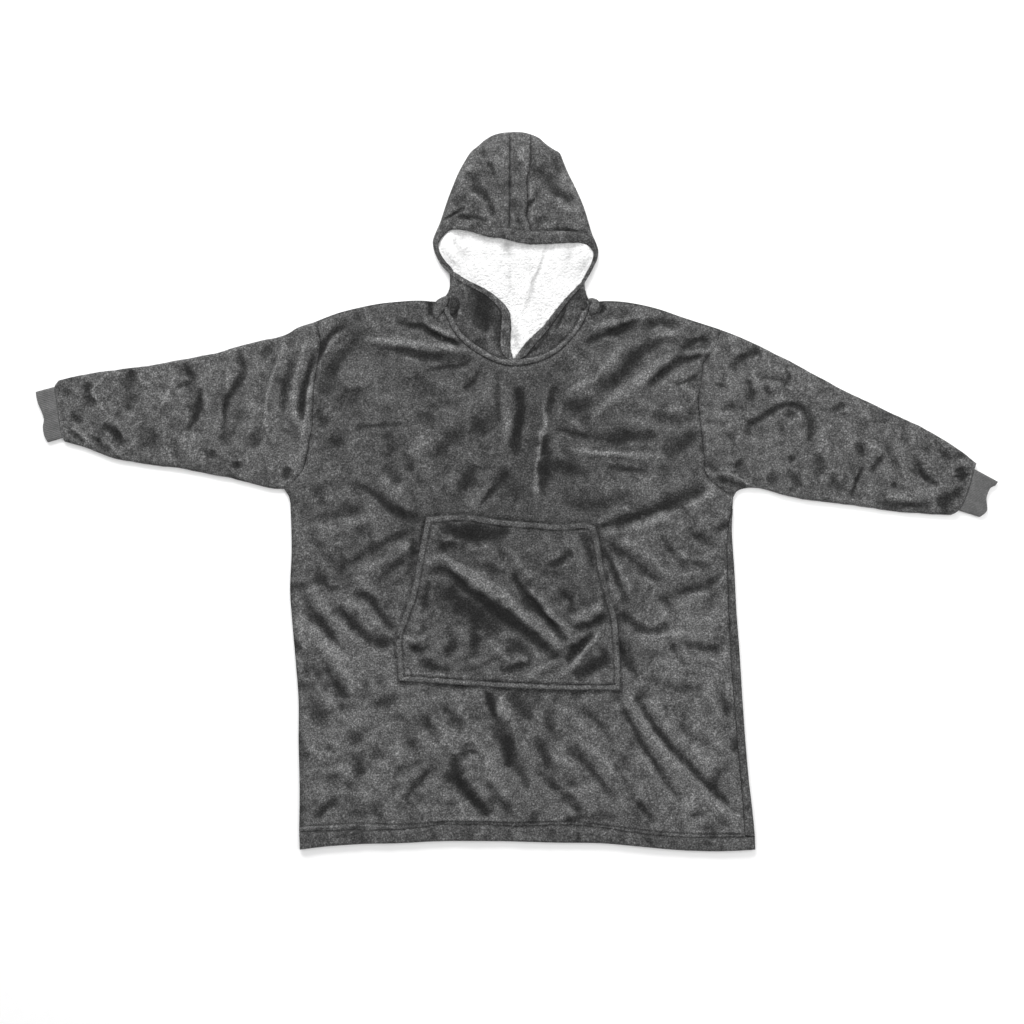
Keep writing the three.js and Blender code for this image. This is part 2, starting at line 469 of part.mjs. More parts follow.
// ---------------------------------------------------------------- the garment
const PLUSH = { color: 0x505052, roughness: 0.95, metalness: 0 };
const RIB = { color: 0x6c6c6e, roughness: 0.9, metalness: 0 };
const SHERPA = { color: 0xf2f0ec, roughness: 1, metalness: 0 };
const hoodie = new THREE.Group();
function add(name, geometry, finish) {
  geometry.computeVertexNormals();
  const mesh = new THREE.Mesh(geometry, new THREE.MeshStandardMaterial(finish));
  mesh.name = name;
  hoodie.add(mesh);
}
add('body_back', bodyBack, PLUSH);
add('body_front', bodyFront, PLUSH);
add('hem_band', hemBand, PLUSH);
add('sleeve_right', sleeve(SLEEVE_RIGHT, armholeRight), PLUSH);
add('sleeve_left', sleeve(SLEEVE_LEFT, armholeLeft), PLUSH);
add('cuff_right', cuff(SLEEVE_RIGHT), RIB);
add('cuff_left', cuff(SLEEVE_LEFT), RIB);
add('hood_right', opened(hood.intersect(closed(rightSide))), PLUSH);
add('hood_left', opened(hood.intersect(closed(leftSide))), PLUSH);
add('hood_centre', opened(hood.intersect(closed(stripSide))), PLUSH);
add('hood_brim', hoodBrim, PLUSH);
add('hood_lining', hoodLining, SHERPA);
add('pocket', pocket, PLUSH);

export default hoodie;
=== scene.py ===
"""Looks of the oversized blanket hoodie, laid flat with its front up.

Sizes are in millimetres until a mesh is made; +X is the wearer's left and +Y is towards the hood.
Every cloth is a closed thin shell on its CAD solid's form, with the listed creases.
"""
import json
import math

import bpy
import numpy as np
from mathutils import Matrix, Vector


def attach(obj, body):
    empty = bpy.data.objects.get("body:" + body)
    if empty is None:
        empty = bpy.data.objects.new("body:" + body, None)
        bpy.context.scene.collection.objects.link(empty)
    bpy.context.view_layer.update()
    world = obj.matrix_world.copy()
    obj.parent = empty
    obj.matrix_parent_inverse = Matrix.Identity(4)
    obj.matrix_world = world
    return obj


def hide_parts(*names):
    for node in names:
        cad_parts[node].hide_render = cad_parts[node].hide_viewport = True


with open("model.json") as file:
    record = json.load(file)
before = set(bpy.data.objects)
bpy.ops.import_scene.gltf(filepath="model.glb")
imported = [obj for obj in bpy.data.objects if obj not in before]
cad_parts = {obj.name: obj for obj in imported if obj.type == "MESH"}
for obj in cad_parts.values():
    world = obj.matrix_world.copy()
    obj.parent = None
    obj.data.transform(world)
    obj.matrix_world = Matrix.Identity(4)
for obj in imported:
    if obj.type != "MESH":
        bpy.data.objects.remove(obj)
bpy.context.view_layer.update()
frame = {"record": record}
RECORD = frame["record"]

MM = 0.001
WALL = 4.0
LAYER = 4.4          # underside of the upper cloth
TOP = 8.4            # upper face of the upper cloth
MID = 4.2
NECK_RISE = 3.6
HOOD_FOLD_Z = 7.0
HOOD_WALL = 3.4
POCKET_WALL = 2.6
SEAM = 0.5
EYE = np.array([-8.7, -36.5])   # where the camera's axis meets the surface

# ---------------------------------------------------------------- outlines and seams
HEM_EDGE = [
    (-390.3, -643.1), (-354.3, -638.6), (-282.3, -633.1), (-210.3, -631.4), (-138.3, -627.8), (-30.3, -627.8), (77.7, -630.5), (149.7, -631.4),
    (221.7, -637.6), (293.7, -644), (365.7, -645.8), (428.7, -643.1),
]
HEM_SEAM = [
    (-391.2, -610.6), (-325.5, -608), (-246.3, -607.1), (-186.9, -604.4), (-127.5, -597.1), (-66.3, -597.1), (5.7, -600.8), (79.5, -598.1),
    (155.1, -603.5), (214.5, -612.5), (273.9, -618.8), (333.3, -620.6), (409.8, -619.6),
]
SIDE_RIGHT = [
    (-391.2, -610.6), (-390.3, -536.9), (-392.1, -446.9), (-392.1, -374.9), (-397.5, -302.9), (-403.8, -230.8), (-407.4, -176.8), (-404.7, -104.9),
    (-406.5, -32.9), (-408.3, -11.2), (-418.2, 5),
]
FOLD_LEFT = [
    (427.8, -617.9), (423.3, -572.9), (417, -518.9), (410.7, -446.9), (404.4, -356.9), (399.9, -284.9), (394.5, -212.8), (390.9, -140.8),
    (386.4, -68.9), (388.2, -27.4), (389.1, -9.5),
]
SIDE_LEFT = [
    (409.8, -619.6), (405.3, -554.9), (398.1, -473.9), (390.9, -383.9), (384.6, -302.9), (381, -230.8), (378.3, -140.8), (377.4, -86.9),
    (381.9, -50.9), (387.3, -23.9), (389.1, -9.5),
]
ARM_RIGHT = [
    (-418.2, 5), (-402.9, 19.4), (-388.5, 33.8), (-379.5, 57.1), (-372.3, 93.2), (-366.9, 129.2), (-366, 165.2), (-363.3, 201.2), (-356.1, 237.2),
    (-352.5, 264.2), (-356.1, 287.6), (-361.5, 305.6),
]
ARM_LEFT = [
    (389.1, -9.5), (369.3, 5), (349.5, 19.4), (338.7, 35.6), (336.9, 57.1), (333.3, 93.2), (328.8, 129.2), (326.1, 165.2), (331.5, 201.2),
    (333.3, 226.3), (340.5, 242.6), (353.1, 255.2), (360.3, 273.2), (365.7, 291.2),
]
SHOULDER_RIGHT = [
    (-361.5, 305.6), (-318.3, 321.8), (-282.3, 330.8), (-246.3, 337.9), (-210.3, 341.6), (-174.3, 343.4), (-136.5, 339.8),
]
NECK = [
    (-136.5, 339.8), (-127.5, 318.2), (-113.1, 289.4), (-95.1, 267.8), (-73.5, 251.6), (-48.3, 238.1), (-26.7, 230), (-5.1, 227.2), (20.1, 230),
    (45.3, 237.2), (70.5, 250.7), (92.1, 269.6), (110.1, 291.2), (122.7, 314.6), (131.7, 339.8),
]
SHOULDER_LEFT = [
    (131.7, 339.8), (158.7, 342.4), (185.7, 341.6), (221.7, 336.2), (257.7, 327.2), (293.7, 314.6), (329.7, 302.9), (365.7, 291.2),
]
SLEEVE_R_TOP = [
    (-361.5, 305.6), (-393.9, 294.8), (-415.5, 282.2), (-458.7, 271.4), (-501.9, 260.6), (-545.1, 248), (-588.3, 239.8), (-631.5, 231.8),
    (-674.7, 224.6), (-717.9, 219.2), (-761.1, 213.8), (-804.3, 204.8), (-823.2, 200.2),
]
SLEEVE_R_UNDER = [
    (-418.2, 5), (-442.5, 6.8), (-483.9, 16.7), (-514.5, 24.8), (-552.3, 31.1), (-604.5, 41.9), (-654.9, 48.1), (-717.9, 59), (-779.1, 80.5),
    (-813.3, 90.5),
]
SLEEVE_R_END = [
    (-813.3, 90.5), (-818.7, 107.5), (-822.3, 132.8), (-826.8, 165.2), (-830.4, 188.6), (-823.2, 200.2),
]
CUFF_R_END = [
    (-843, 88.7), (-849.3, 100.4), (-852, 116.5), (-850.1, 129.2), (-854.7, 145.3), (-861, 159.8), (-865.2, 179.6),
]
SLEEVE_L_TOP = [
    (365.7, 291.2), (416.1, 271.4), (459.3, 249.8), (502.5, 228.2), (545.7, 204.8), (588.9, 181.3), (632.1, 161.6), (675.3, 140), (718.5, 120.2),
    (761.7, 96.8), (797.7, 73.4), (819.3, 56.2), (826.1, 50.9),
]
SLEEVE_L_UNDER = [
    (389.1, -9.5), (396.3, 1.4), (416.1, 6.8), (437.7, 5.9), (470.1, -3.1), (504.3, -11.2), (552.9, -17.6), (612.3, -25.7), (686.1, -36.1),
    (738.3, -39.7), (779.7, -41.9),
]
SLEEVE_L_END = [
    (779.7, -41.9), (792.3, -34.6), (801.3, -20.2), (813, 10.3), (820.2, 35.6), (826.1, 50.9),
]
CUFF_L_END = [
    (832.4, -45.5), (844.5, -34.6), (844.5, -9.5), (851.7, 6.8), (859.8, 11.2), (865.2, 17.9),
]
HOOD_SIL_RIGHT = [
    (-136.5, 339.8), (-122.1, 361.4), (-120.3, 377.6), (-122.1, 395.6), (-134.7, 407.2), (-143.7, 420.8), (-149.1, 435.2), (-150.9, 449.6),
    (-145.5, 465.8), (-138.3, 481.9), (-132.9, 498.2), (-123.9, 525.1), (-114.9, 548.6), (-105.9, 570.1), (-93.3, 593.6), (-82.5, 609.8),
    (-69.9, 620.6), (-57.3, 631.4), (-42.9, 639.8), (-28.5, 644), (-12.3, 645.8),
]
HOOD_SIL_TOP = [
    (-12.3, 645.8), (0.3, 645.8), (12.9, 644.9), (27.3, 641.2),
]
HOOD_SIL_LEFT = [
    (27.3, 641.2), (39.9, 635), (52.5, 624.1), (65.1, 615.1), (76.8, 608), (83.1, 593.6), (90.3, 575.6), (101.1, 554), (113.7, 527), (122.7, 503.6),
    (128.1, 485.6), (135.3, 462.2), (142.5, 445.9), (146.1, 433.4), (144.3, 417.2), (137.1, 402.8), (128.1, 387.4), (121.8, 373.9), (124.5, 355.9),
    (131.7, 339.8),
]
POCKET_TOP = [
    (-162.6, -45.5), (-129.3, -42.8), (-96.9, -41), (-62.7, -45.5), (-28.5, -50.9), (16.5, -54.5), (79.5, -58.8), (128.1, -56.2), (140.7, -63.5),
]
POCKET_BOTTOM = [
    (-212.1, -339.8), (-152.7, -343.4), (-48.3, -350.2), (32.7, -354.2), (113.7, -356.5), (185.7, -355.9),
]
POCKET_RIGHT = [
    (-212.1, -339.8), (-215.4, -301.1), (-216.8, -261.4), (-203.1, -220.1), (-190.5, -184.1), (-174.3, -103), (-162.6, -45.5),
]
POCKET_LEFT = [
    (185.7, -355.9), (185.7, -311.9), (183, -268.7), (180.3, -234.5), (171.3, -198.5), (156.9, -144.5), (147.9, -88.7), (140.7, -63.5),
]
LINING_TOP = [
    (-122.1, 481.9), (-84.3, 485.6), (-30.3, 478.4), (23.7, 467.6), (77.7, 465.8), (124.5, 462.2),
]
LINING_BOTTOM = [
    (-23.1, 219.2), (-5.1, 217.3), (12.9, 219.2),
]
LINING_RIGHT = [
    (-23.1, 219.2), (-32.1, 264.2), (-32.1, 312.8), (-41.1, 332.6), (-59.1, 345.2), (-77.1, 355.9), (-96.9, 368.6), (-110.4, 384.8), (-116.7, 400.9),
    (-127.5, 412.7), (-136.5, 426.2), (-140.8, 436.9), (-141.4, 449.6), (-135.6, 463.9), (-122.1, 481.9),
]
LINING_LEFT = [
    (12.9, 219.2), (36.3, 251.6), (66.9, 287.6), (92.1, 328.9), (110.1, 352.4), (115.5, 373.9), (124.5, 392.9), (132.6, 407.2), (137.1, 419.9),
    (137.6, 432.4), (133.5, 447.8), (124.5, 462.2),
]
OPENING = [
    (-5.1, 240.8, 7.2), (-10.5, 253.3, 16.2), (-11.4, 273.2, 18), (-10, 296.6, 18), (-12.3, 321.8, 15.3), (-21.3, 337.1, 12.6), (-35.7, 350.6, 10.8),
    (-51.9, 363.2, 9.9), (-71.7, 373.1, 9), (-91.5, 382.9, 9), (-107.7, 393.8, 8.1), (-122.1, 404.6, 7.6), (-132.9, 416.2, 6.8),
    (-140.1, 430.7, 6.5), (-141.9, 444.2, 6.5), (-138.3, 454.9, 8.3), (-129.3, 465.8, 12.6), (-120.3, 471.7, 14.4), (-105.9, 472.1, 18),
    (-87.9, 469.4, 19.8), (-68.1, 463.9, 18.9), (-48.3, 458, 18), (-24.9, 455.9, 18.9), (-3.3, 449.6, 22.5), (23.7, 445.4, 23.4),
    (56.1, 445.6, 22.9), (88.5, 447.8, 20.7), (117.3, 447.8, 17.1), (129.9, 443.2, 11.7), (137.1, 435.2, 6.5), (139.4, 424.4, 5),
    (135.3, 409.9, 4.7), (127.2, 394.7, 5), (116.4, 379.4, 5.8), (99.3, 361.4, 6.8), (81.3, 341.6, 7.9), (63.3, 319.1, 9.4), (48.9, 300.2, 10.8),
    (32.7, 284.9, 12.6), (16.5, 268.7, 14.4), (3.9, 253.3, 14.4),
]
NECK_BACK = [(-136.5, 339.8), (-70, 326), (0, 322), (70, 326), (131.7, 339.8)]
NECK_BACK_X = [-400, -136, -70, 0, 70, 132, 400]
NECK_BACK_Y = [340, 340, 326, 322, 326, 340, 340]
HEM_STITCH = [(-388, -601.5), (-309, -596.5), (-201, -597.5), (-120, -592.5), (6, -594.5), (105, -592.5), (150, -598), (240, -609), (312, -614.3), (402, -614.5)]
ROLL = 5.0
NECK_REACH = 45.0

HOOD_HEIGHT = [(200, 12.4), (340, 12.8), (400, 17), (445, 23), (480, 27), (560, 28.5), (650, 24)]
STRIP_RIGHT = [(227, -5), (299, -5), (300, -17), (445, -13), (520, -12.5), (600, -12.3), (680, -12.3)]
STRIP_LEFT = [(227, -5), (299, -5), (300, 22), (445, 22), (462, 26), (477, 22.5), (491, 17), (511, 20), (535, 18.5), (559, 18), (567, 21), (590, 25), (640, 25), (680, 25)]

# creases: tone (L a raised ridge with a painted highlight, D a sunk trough with painted shade), half width, strength,
# course
BODY_CREASES = [
    ("D", 7.4, 2.25, [(-353, 235), (-349, 259), (-328, 285), (-304, 300)]), ("L", 7.7, 0.74, [(-364, 217), (-346, 244), (-328, 271), (-298, 300)]),
    ("D", 12.7, 1.27, [(-277, 291), (-292, 268), (-322, 232), (-337, 202), (-352, 172)]), ("L", 5.3, 0.94, [(-364, 220), (-373, 166), (-381, 106)]),
    ("L", 9.2, 1.49, [(-277, 274), (-241, 269), (-199, 266), (-161, 260), (-110, 254), (-92, 250)]), ("L", 5.6, 0.94, [(-217, 267), (-193, 266), (-170, 262)]),
    ("D", 10.6, 1.12, [(-259, 260), (-217, 253), (-170, 245), (-125, 241), (-80, 238)]), ("D", 5.3, 2.55, [(-217, 309), (-193, 300), (-170, 296), (-152, 288), (-134, 279), (-110, 271)]),
    ("L", 4.9, 1.28, [(-170, 309), (-155, 297), (-134, 287), (-113, 279)]), ("D", 4.6, 1.35, [(-170, 214), (-140, 223), (-95, 229), (-77, 241)]),
    ("D", 6.3, 1.2, [(-98, 181), (-80, 196), (-65, 220)]), ("L", 16.9, 0.68, [(-71, 178), (-50, 190), (-38, 214)]), ("D", 8.5, 1.8, [(1, 190), (5, 160), (-2, 106), (-11, 76)]),
    ("L", 12.7, 0.81, [(-26, 202), (-20, 154), (-20, 106), (-26, 62)]), ("D", 6.3, 0.75, [(-35, 214), (-34, 166), (-35, 118)]), ("D", 19, 1.12, [(-80, 136), (-65, 118), (-53, 100)]),
    ("D", 16.9, 0.75, [(-146, 160), (-158, 136), (-164, 112)]), ("D", 14.8, 0.98, [(-155, 56), (-122, 88), (-92, 118)]), ("L", 19, 0.81, [(-202, 68), (-181, 79), (-161, 94)]),
    ("D", 5.3, 1.05, [(-289, 115), (-259, 117), (-229, 121), (-205, 124)]), ("D", 12.7, 0.9, [(-337, 100), (-322, 91), (-307, 85)]), ("D", 12.7, 1.5, [(-104, -4), (-86, 23), (-75, 50)]),
    ("L", 12.7, 0.68, [(-131, 14), (-119, 23), (-107, 35)]), ("D", 8.5, 0.9, [(-202, 38), (-193, 44), (-184, 41)]), ("D", 8.5, 1.42, [(-295, 17), (-253, -7), (-217, -31), (-170, -46)]),
    ("D", 8.5, 1.2, [(-65, -25), (-38, 8), (-17, 38)]), ("L", 12.7, 0.68, [(-86, -28), (-68, -7), (-47, 14)]), ("D", 10.6, 0.9, [(-364, 142), (-349, 130), (-334, 124)]),
    ("D", 14.1, 0.75, [(-223, 100), (-229, 76), (-241, 59)]), ("L", 17.6, 0.54, [(-283, 160), (-253, 166), (-217, 163)]), ("D", 17.6, 0.6, [(-319, 178), (-313, 160), (-304, 142)]),
    ("L", 14.1, 0.54, [(-253, 20), (-229, 11), (-205, -7)]), ("D", 12.7, 0.75, [(-370, 11), (-355, -7), (-349, -28)]), ("L", 14.1, 0.61, [(-322, 2), (-301, -13), (-280, -25)]),
    ("D", 15.5, 0.75, [(-241, 47), (-223, 29), (-211, 11)]), ("L", 14.1, 0.54, [(-140, 17), (-122, 11), (-107, 17)]), ("D", 9.2, 0.75, [(-313, 184), (-295, 178), (-277, 181)]),
    ("D", 21.1, 0.52, [(-199, 196), (-170, 190), (-140, 196)]), ("L", 12.6, 1.35, [(-388, -230), (-364, -257), (-336, -292), (-308, -330), (-288, -361)]),
    ("D", 9.3, 1.42, [(-384, -185), (-364, -223), (-339, -254), (-308, -288)]), ("L", 12.6, 0.94, [(-370, -168), (-346, -212), (-315, -243), (-291, -274)]),
    ("D", 10.6, 2.03, [(-322, -206), (-298, -233), (-271, -261), (-243, -271), (-222, -268)]), ("L", 9.3, 1.08, [(-308, -199), (-284, -212), (-253, -240), (-222, -261)]),
    ("D", 8.5, 1.95, [(-295, -181), (-264, -195), (-240, -223), (-219, -250)]), ("D", 10.6, 1.65, [(-346, -316), (-322, -350), (-302, -371)]),
    ("D", 17.1, 0.9, [(-374, -364), (-360, -398), (-353, -423)]), ("L", 10.6, 0.74, [(-370, -330), (-339, -378), (-312, -405)]), ("D", 8.1, 0.75, [(-381, -309), (-374, -336)]),
    ("L", 3.7, 0.94, [(-370, -460), (-357, -471), (-346, -476)]), ("D", 6.5, 1.05, [(-339, -450), (-336, -464), (-326, -471)]), ("D", 9.3, 1.65, [(-367, -588), (-343, -567), (-322, -553)]),
    ("D", 12.6, 0.83, [(-277, -509), (-288, -488), (-286, -467)]), ("L", 10.6, 0.68, [(-219, -560), (-212, -547), (-209, -533)]), ("D", 8.5, 1.2, [(-202, -553), (-174, -519), (-147, -488)]),
    ("L", 14.6, 0.81, [(-167, -481), (-143, -457), (-116, -433)]), ("L", 18.7, 1.08, [(-81, -450), (-47, -502), (-23, -564)]),
    ("D", 12.6, 1.88, [(-128, -509), (-105, -522), (-78, -550), (-43, -581)]), ("D", 8.5, 1.2, [(-109, -474), (-74, -469), (-50, -498)]),
    ("D", 10.6, 1.5, [(-43, -433), (-19, -450), (-12, -495)]), ("D", 4.9, 1.95, [(-57, -361), (-48, -378), (-43, -405)]), ("L", 8.5, 0.81, [(-33, -378), (-26, -395), (-16, -416)]),
    ("L", 16.3, 0.68, [(-271, -454), (-253, -433), (-229, -416)]), ("D", 12.2, 0.75, [(-257, -392), (-236, -378), (-215, -364)]), ("D", 16.3, 0.75, [(-202, -426), (-167, -409), (-140, -395)]),
    ("L", 12.2, 0.61, [(-236, -474), (-222, -467), (-205, -471)]), ("D", 10.6, 0.9, [(-343, -529), (-326, -512), (-315, -516)]), ("L", 8.1, 0.81, [(-326, -495), (-312, -502), (-308, -512)]),
    ("D", 20.3, 0.6, [(-305, -581), (-271, -571), (-236, -577)]), ("L", 20.3, 0.54, [(-305, -553), (-284, -550), (-257, -557)]),
    ("L", 6.7, 1.49, [(-377, 277), (-392, 227), (-400, 177), (-397, 127), (-390, 111)]), ("D", 6.7, 2.55, [(-362, 257), (-377, 201), (-387, 154), (-389, 124)]),
    ("L", 3.9, 1.35, [(-369, 201), (-380, 144), (-384, 111), (-394, 61)]), ("L", 5.9, 1.15, [(-410, 277), (-427, 237), (-444, 194), (-450, 154), (-447, 111), (-424, 74)]),
    ("D", 9, 1.27, [(-400, 251), (-415, 194), (-420, 137)]), ("D", 10.6, 1.2, [(-434, 267), (-457, 241)]), ("D", 7.5, 1.8, [(-500, 256), (-493, 217), (-507, 184), (-520, 161), (-527, 111)]),
    ("L", 6.7, 0.81, [(-515, 231), (-518, 207), (-517, 184)]), ("D", 7.9, 2.17, [(-569, 187), (-575, 144), (-591, 107)]), ("L", 8.6, 0.54, [(-558, 187), (-560, 161), (-563, 141)]),
    ("D", 9, 1.42, [(-597, 231), (-587, 211), (-582, 196)]), ("D", 6.3, 1.2, [(-583, 194), (-600, 191), (-613, 186)]), ("L", 4.3, 1.49, [(-613, 207), (-630, 167), (-650, 132)]),
    ("L", 3.5, 1.08, [(-657, 129), (-677, 121), (-690, 109), (-703, 91)]), ("L", 4.3, 1.35, [(-730, 214), (-760, 182), (-746, 151), (-725, 126)]),
    ("L", 4.3, 1.28, [(-718, 131), (-713, 114), (-702, 96)]), ("D", 7.9, 1.5, [(-697, 224), (-693, 211), (-685, 196)]), ("L", 2.7, 1.22, [(-667, 220), (-676, 206), (-667, 192)]),
    ("L", 2.7, 1.08, [(-647, 217), (-647, 204), (-643, 190)]), ("L", 3.5, 1.08, [(-708, 216), (-717, 204), (-717, 194)]), ("D", 9, 1.2, [(-776, 197), (-768, 167), (-753, 154)]),
    ("D", 8.6, 1.35, [(-803, 141), (-790, 131), (-778, 123)]), ("D", 6.7, 1.2, [(-810, 111), (-796, 101), (-776, 84)]), ("L", 3.9, 1.22, [(-800, 114), (-776, 97), (-758, 79)]),
    ("D", 8.6, 1.95, [(-743, 122), (-723, 107), (-705, 86)]), ("L", 3.9, 1.22, [(-743, 97), (-727, 81), (-712, 62)]), ("D", 6.7, 1.05, [(-763, 101), (-743, 81), (-730, 71)]),
    ("L", 3.9, 1.08, [(-628, 114), (-632, 91), (-622, 64), (-612, 44)]), ("D", 7.1, 0.6, [(-617, 97), (-610, 67), (-603, 51)]), ("L", 3.9, 1.22, [(-447, 18), (-440, 41), (-420, 61)]),
    ("D", 8.6, 1.65, [(-410, 18), (-412, 31), (-404, 41)]), ("D", 10.6, 1.2, [(-503, 41), (-502, 54)]), ("D", 10.6, 1.05, [(-563, 64), (-547, 67), (-543, 74)]),
    ("D", 10.6, 1.05, [(-464, 81), (-474, 94), (-480, 101)]), ("L", 4.3, 0.81, [(-700, 74), (-693, 84), (-677, 97)]), ("D", 6.3, 1.05, [(-700, 147), (-693, 154)]),
    ("D", 10.2, 0.75, [(-540, 114), (-523, 97), (-523, 74)]), ("D", 11.8, 0.68, [(-643, 101), (-660, 87), (-677, 74)]), ("L", 13.4, 0.47, [(-557, 141), (-543, 167), (-540, 194)]),
    ("L", 11.8, 0.41, [(-593, 81), (-583, 61), (-577, 48)]), ("D", 11.8, 0.6, [(-670, 167), (-690, 161), (-703, 141)]), ("L", 13.4, 0.41, [(-487, 141), (-477, 167), (-470, 187)]),
    ("D", 10.2, 0.75, [(-833, 187), (-810, 177), (-803, 161)]), ("D", 8.4, 1.72, [(413, 92), (415, 117), (443, 135), (472, 153), (504, 155), (525, 135), (529, 110), (522, 85)]),
    ("D", 10.5, 0.9, [(482, 148), (493, 141), (504, 135)]), ("D", 8.4, 1.12, [(381, 219), (408, 242), (438, 253)]), ("D", 4.2, 1.35, [(354, 194), (365, 191), (378, 188)]),
    ("D", 5.9, 1.2, [(415, 192), (422, 181), (426, 171)]), ("D", 5.9, 1.05, [(411, 203), (418, 189)]), ("L", 7.1, 0.81, [(418, 224), (426, 203), (438, 185)]),
    ("D", 6.3, 1.05, [(445, 196), (450, 181), (463, 169)]), ("D", 3.4, 1.05, [(482, 226), (484, 213), (490, 206), (474, 183)]), ("D", 10.5, 1.27, [(539, 71), (544, 43), (532, 21)]),
    ("D", 8.4, 0.9, [(569, 36), (566, 18), (560, 5)]), ("D", 4.2, 2.25, [(618, 43), (608, 18), (601, -5)]), ("D", 5.5, 1.72, [(659, 69), (643, 46), (630, 30)]),
    ("D", 8.4, 1.12, [(611, 89), (618, 75), (621, 60)]), ("D", 6.3, 1.88, [(721, 53), (732, 28), (758, 12)]), ("D", 10.1, 2.25, [(796, 46), (799, 32), (800, 20)]),
    ("D", 8.4, 1.88, [(753, -26), (778, -11), (800, 7)]), ("D", 8.4, 1.27, [(643, -20), (703, -26), (742, -29)]), ("L", 10.5, 0.88, [(664, -5), (721, -11), (755, -4)]),
    ("D", 8.4, 1.2, [(486, 64), (491, 59), (497, 53)]), ("D", 10.5, 1.2, [(394, 52), (404, 46)]), ("D", 12.6, 1.12, [(447, 28), (468, 21)]),
    ("D", 7.6, 1.05, [(566, 146), (579, 153), (589, 160)]), ("L", 3.4, 1.49, [(347, 30), (365, 32), (386, 29), (415, 14), (438, 6)]), ("D", 8.4, 1.35, [(358, 23), (394, 12), (415, 8)]),
    ("D", 10.1, 0.9, [(714, 68), (717, 50), (710, 32)]), ("D", 5.9, 1.2, [(673, 16), (680, 9)]), ("L", 12.6, 0.47, [(550, 117), (554, 82), (550, 43)]),
    ("L", 5.9, 0.54, [(511, 50), (516, 25), (518, 4)]), ("L", 12.6, 0.41, [(685, 75), (696, 39), (689, 7)]), ("D", 10.9, 0.75, [(365, 146), (383, 153), (397, 146)]),
    ("D", 8.4, 0.75, [(753, 75), (771, 64), (781, 57)]), ("D", 14.3, 0.6, [(596, 25), (582, 11), (575, -4)]), ("D", 6.7, 0.9, [(760, -32), (774, -25), (789, -21)]),
    ("L", 10.9, 0.54, [(618, 146), (632, 125), (643, 96)]), ("D", 10.9, 0.75, [(482, 39), (497, 25), (504, 4)]), ("D", 10.9, 0.75, [(397, 117), (386, 96), (390, 75)]),
    ("L", 12.6, 0.47, [(454, 103), (468, 82), (465, 60)]), ("D", 6.4, 1.5, [(148, 291), (184, 289), (209, 309)]),
    ("L", 6.8, 1.01, [(70, 131), (88, 167), (110, 190), (137, 199), (160, 226), (184, 253), (209, 277)]), ("D", 12.7, 1.42, [(137, 178), (178, 201), (214, 244), (268, 280)]),
    ("L", 11, 1.28, [(132, 131), (160, 158), (196, 181), (218, 196), (245, 219), (279, 244), (301, 262)]), ("L", 7.2, 1.35, [(297, 244), (328, 253), (349, 253), (358, 273), (360, 282)]),
    ("D", 6.8, 2.25, [(294, 257), (322, 271), (346, 273)]), ("D", 8.5, 1.8, [(232, 190), (268, 217), (297, 235), (333, 244)]),
    ("D", 4.2, 1.35, [(283, 192), (306, 199), (322, 208), (333, 219)]), ("L", 6.4, 0.81, [(292, 190), (308, 181), (322, 167)]),
    ("D", 7.2, 2.1, [(2, 187), (7, 160), (6, 131), (2, 95), (-7, 64)]), ("D", 8.5, 1.35, [(69, 190), (60, 160), (56, 136)]),
    ("L", 6.4, 1.76, [(56, 172), (51, 149), (52, 118), (42, 95), (40, 77), (34, 41), (36, 5), (34, -26)]), ("D", 12.7, 1.5, [(43, 100), (47, 82), (49, 64)]),
    ("D", 6.4, 1.35, [(69, 115), (105, 104), (137, 95)]), ("D", 12.7, 1.35, [(137, 100), (173, 97), (209, 100), (254, 100)]), ("L", 3.8, 1.08, [(97, 131), (110, 118), (123, 106)]),
    ("L", 6.8, 1.49, [(88, 82), (124, 70), (178, 68), (227, 64), (268, 63)]), ("D", 6.4, 1.05, [(160, 45), (196, 39), (238, 37)]),
    ("D", 12.7, 1.65, [(214, -38), (261, -24), (308, -4), (340, 10)]), ("L", 12.7, 0.81, [(195, -71), (240, -56), (286, -36)]), ("D", 10.6, 0.9, [(58, 82), (51, 39), (47, -8)]),
    ("L", 10.6, 0.74, [(297, -27), (340, -9), (367, -4)]), ("D", 17, 1.05, [(24, 39), (78, 46), (132, 28)]), ("L", 14.9, 0.54, [(222, 165), (258, 147), (312, 144)]),
    ("D", 14.9, 1.05, [(78, 165), (114, 154), (132, 172)]), ("D", 17, 1.05, [(330, 111), (294, 84), (258, 75)]), ("L", 14.9, 0.54, [(150, 12), (204, 9), (258, 21)]),
    ("D", 19.1, 0.9, [(78, -15), (132, -24), (186, -15)]), ("D", 14.9, 0.75, [(240, 138), (294, 129), (326, 147)]), ("L", 17, 0.47, [(168, 129), (222, 122), (276, 120)]),
    ("D", 10.6, 1.2, [(222, 295), (261, 306), (294, 298)]), ("L", 8.5, 0.68, [(240, 273), (272, 284), (312, 284)]), ("D", 17, 0.75, [(-30, 39), (-3, 3), (6, -24)]),
    ("D", 12.7, 0.9, [(330, 57), (357, 39), (369, 21)]), ("D", 10, 1.05, [(-243, -15), (-216, -36), (-174, -56)]), ("L", 10, 0.74, [(-273, -144), (-232, -120), (-187, -88)]),
    ("D", 8.7, 1.2, [(-301, -132), (-243, -94), (-182, -67)]), ("D", 7.5, 0.9, [(-256, -165), (-216, -131), (-177, -102)]), ("L", 12.5, 0.47, [(-359, -78), (-306, -62), (-253, -47)]),
    ("D", 11.2, 0.68, [(-374, -47), (-327, -41), (-274, -25)]), ("D", 8.7, 0.75, [(-327, -99), (-311, -120), (-316, -152)]), ("L", 11.2, 0.47, [(-359, -120), (-332, -147), (-327, -178)]),
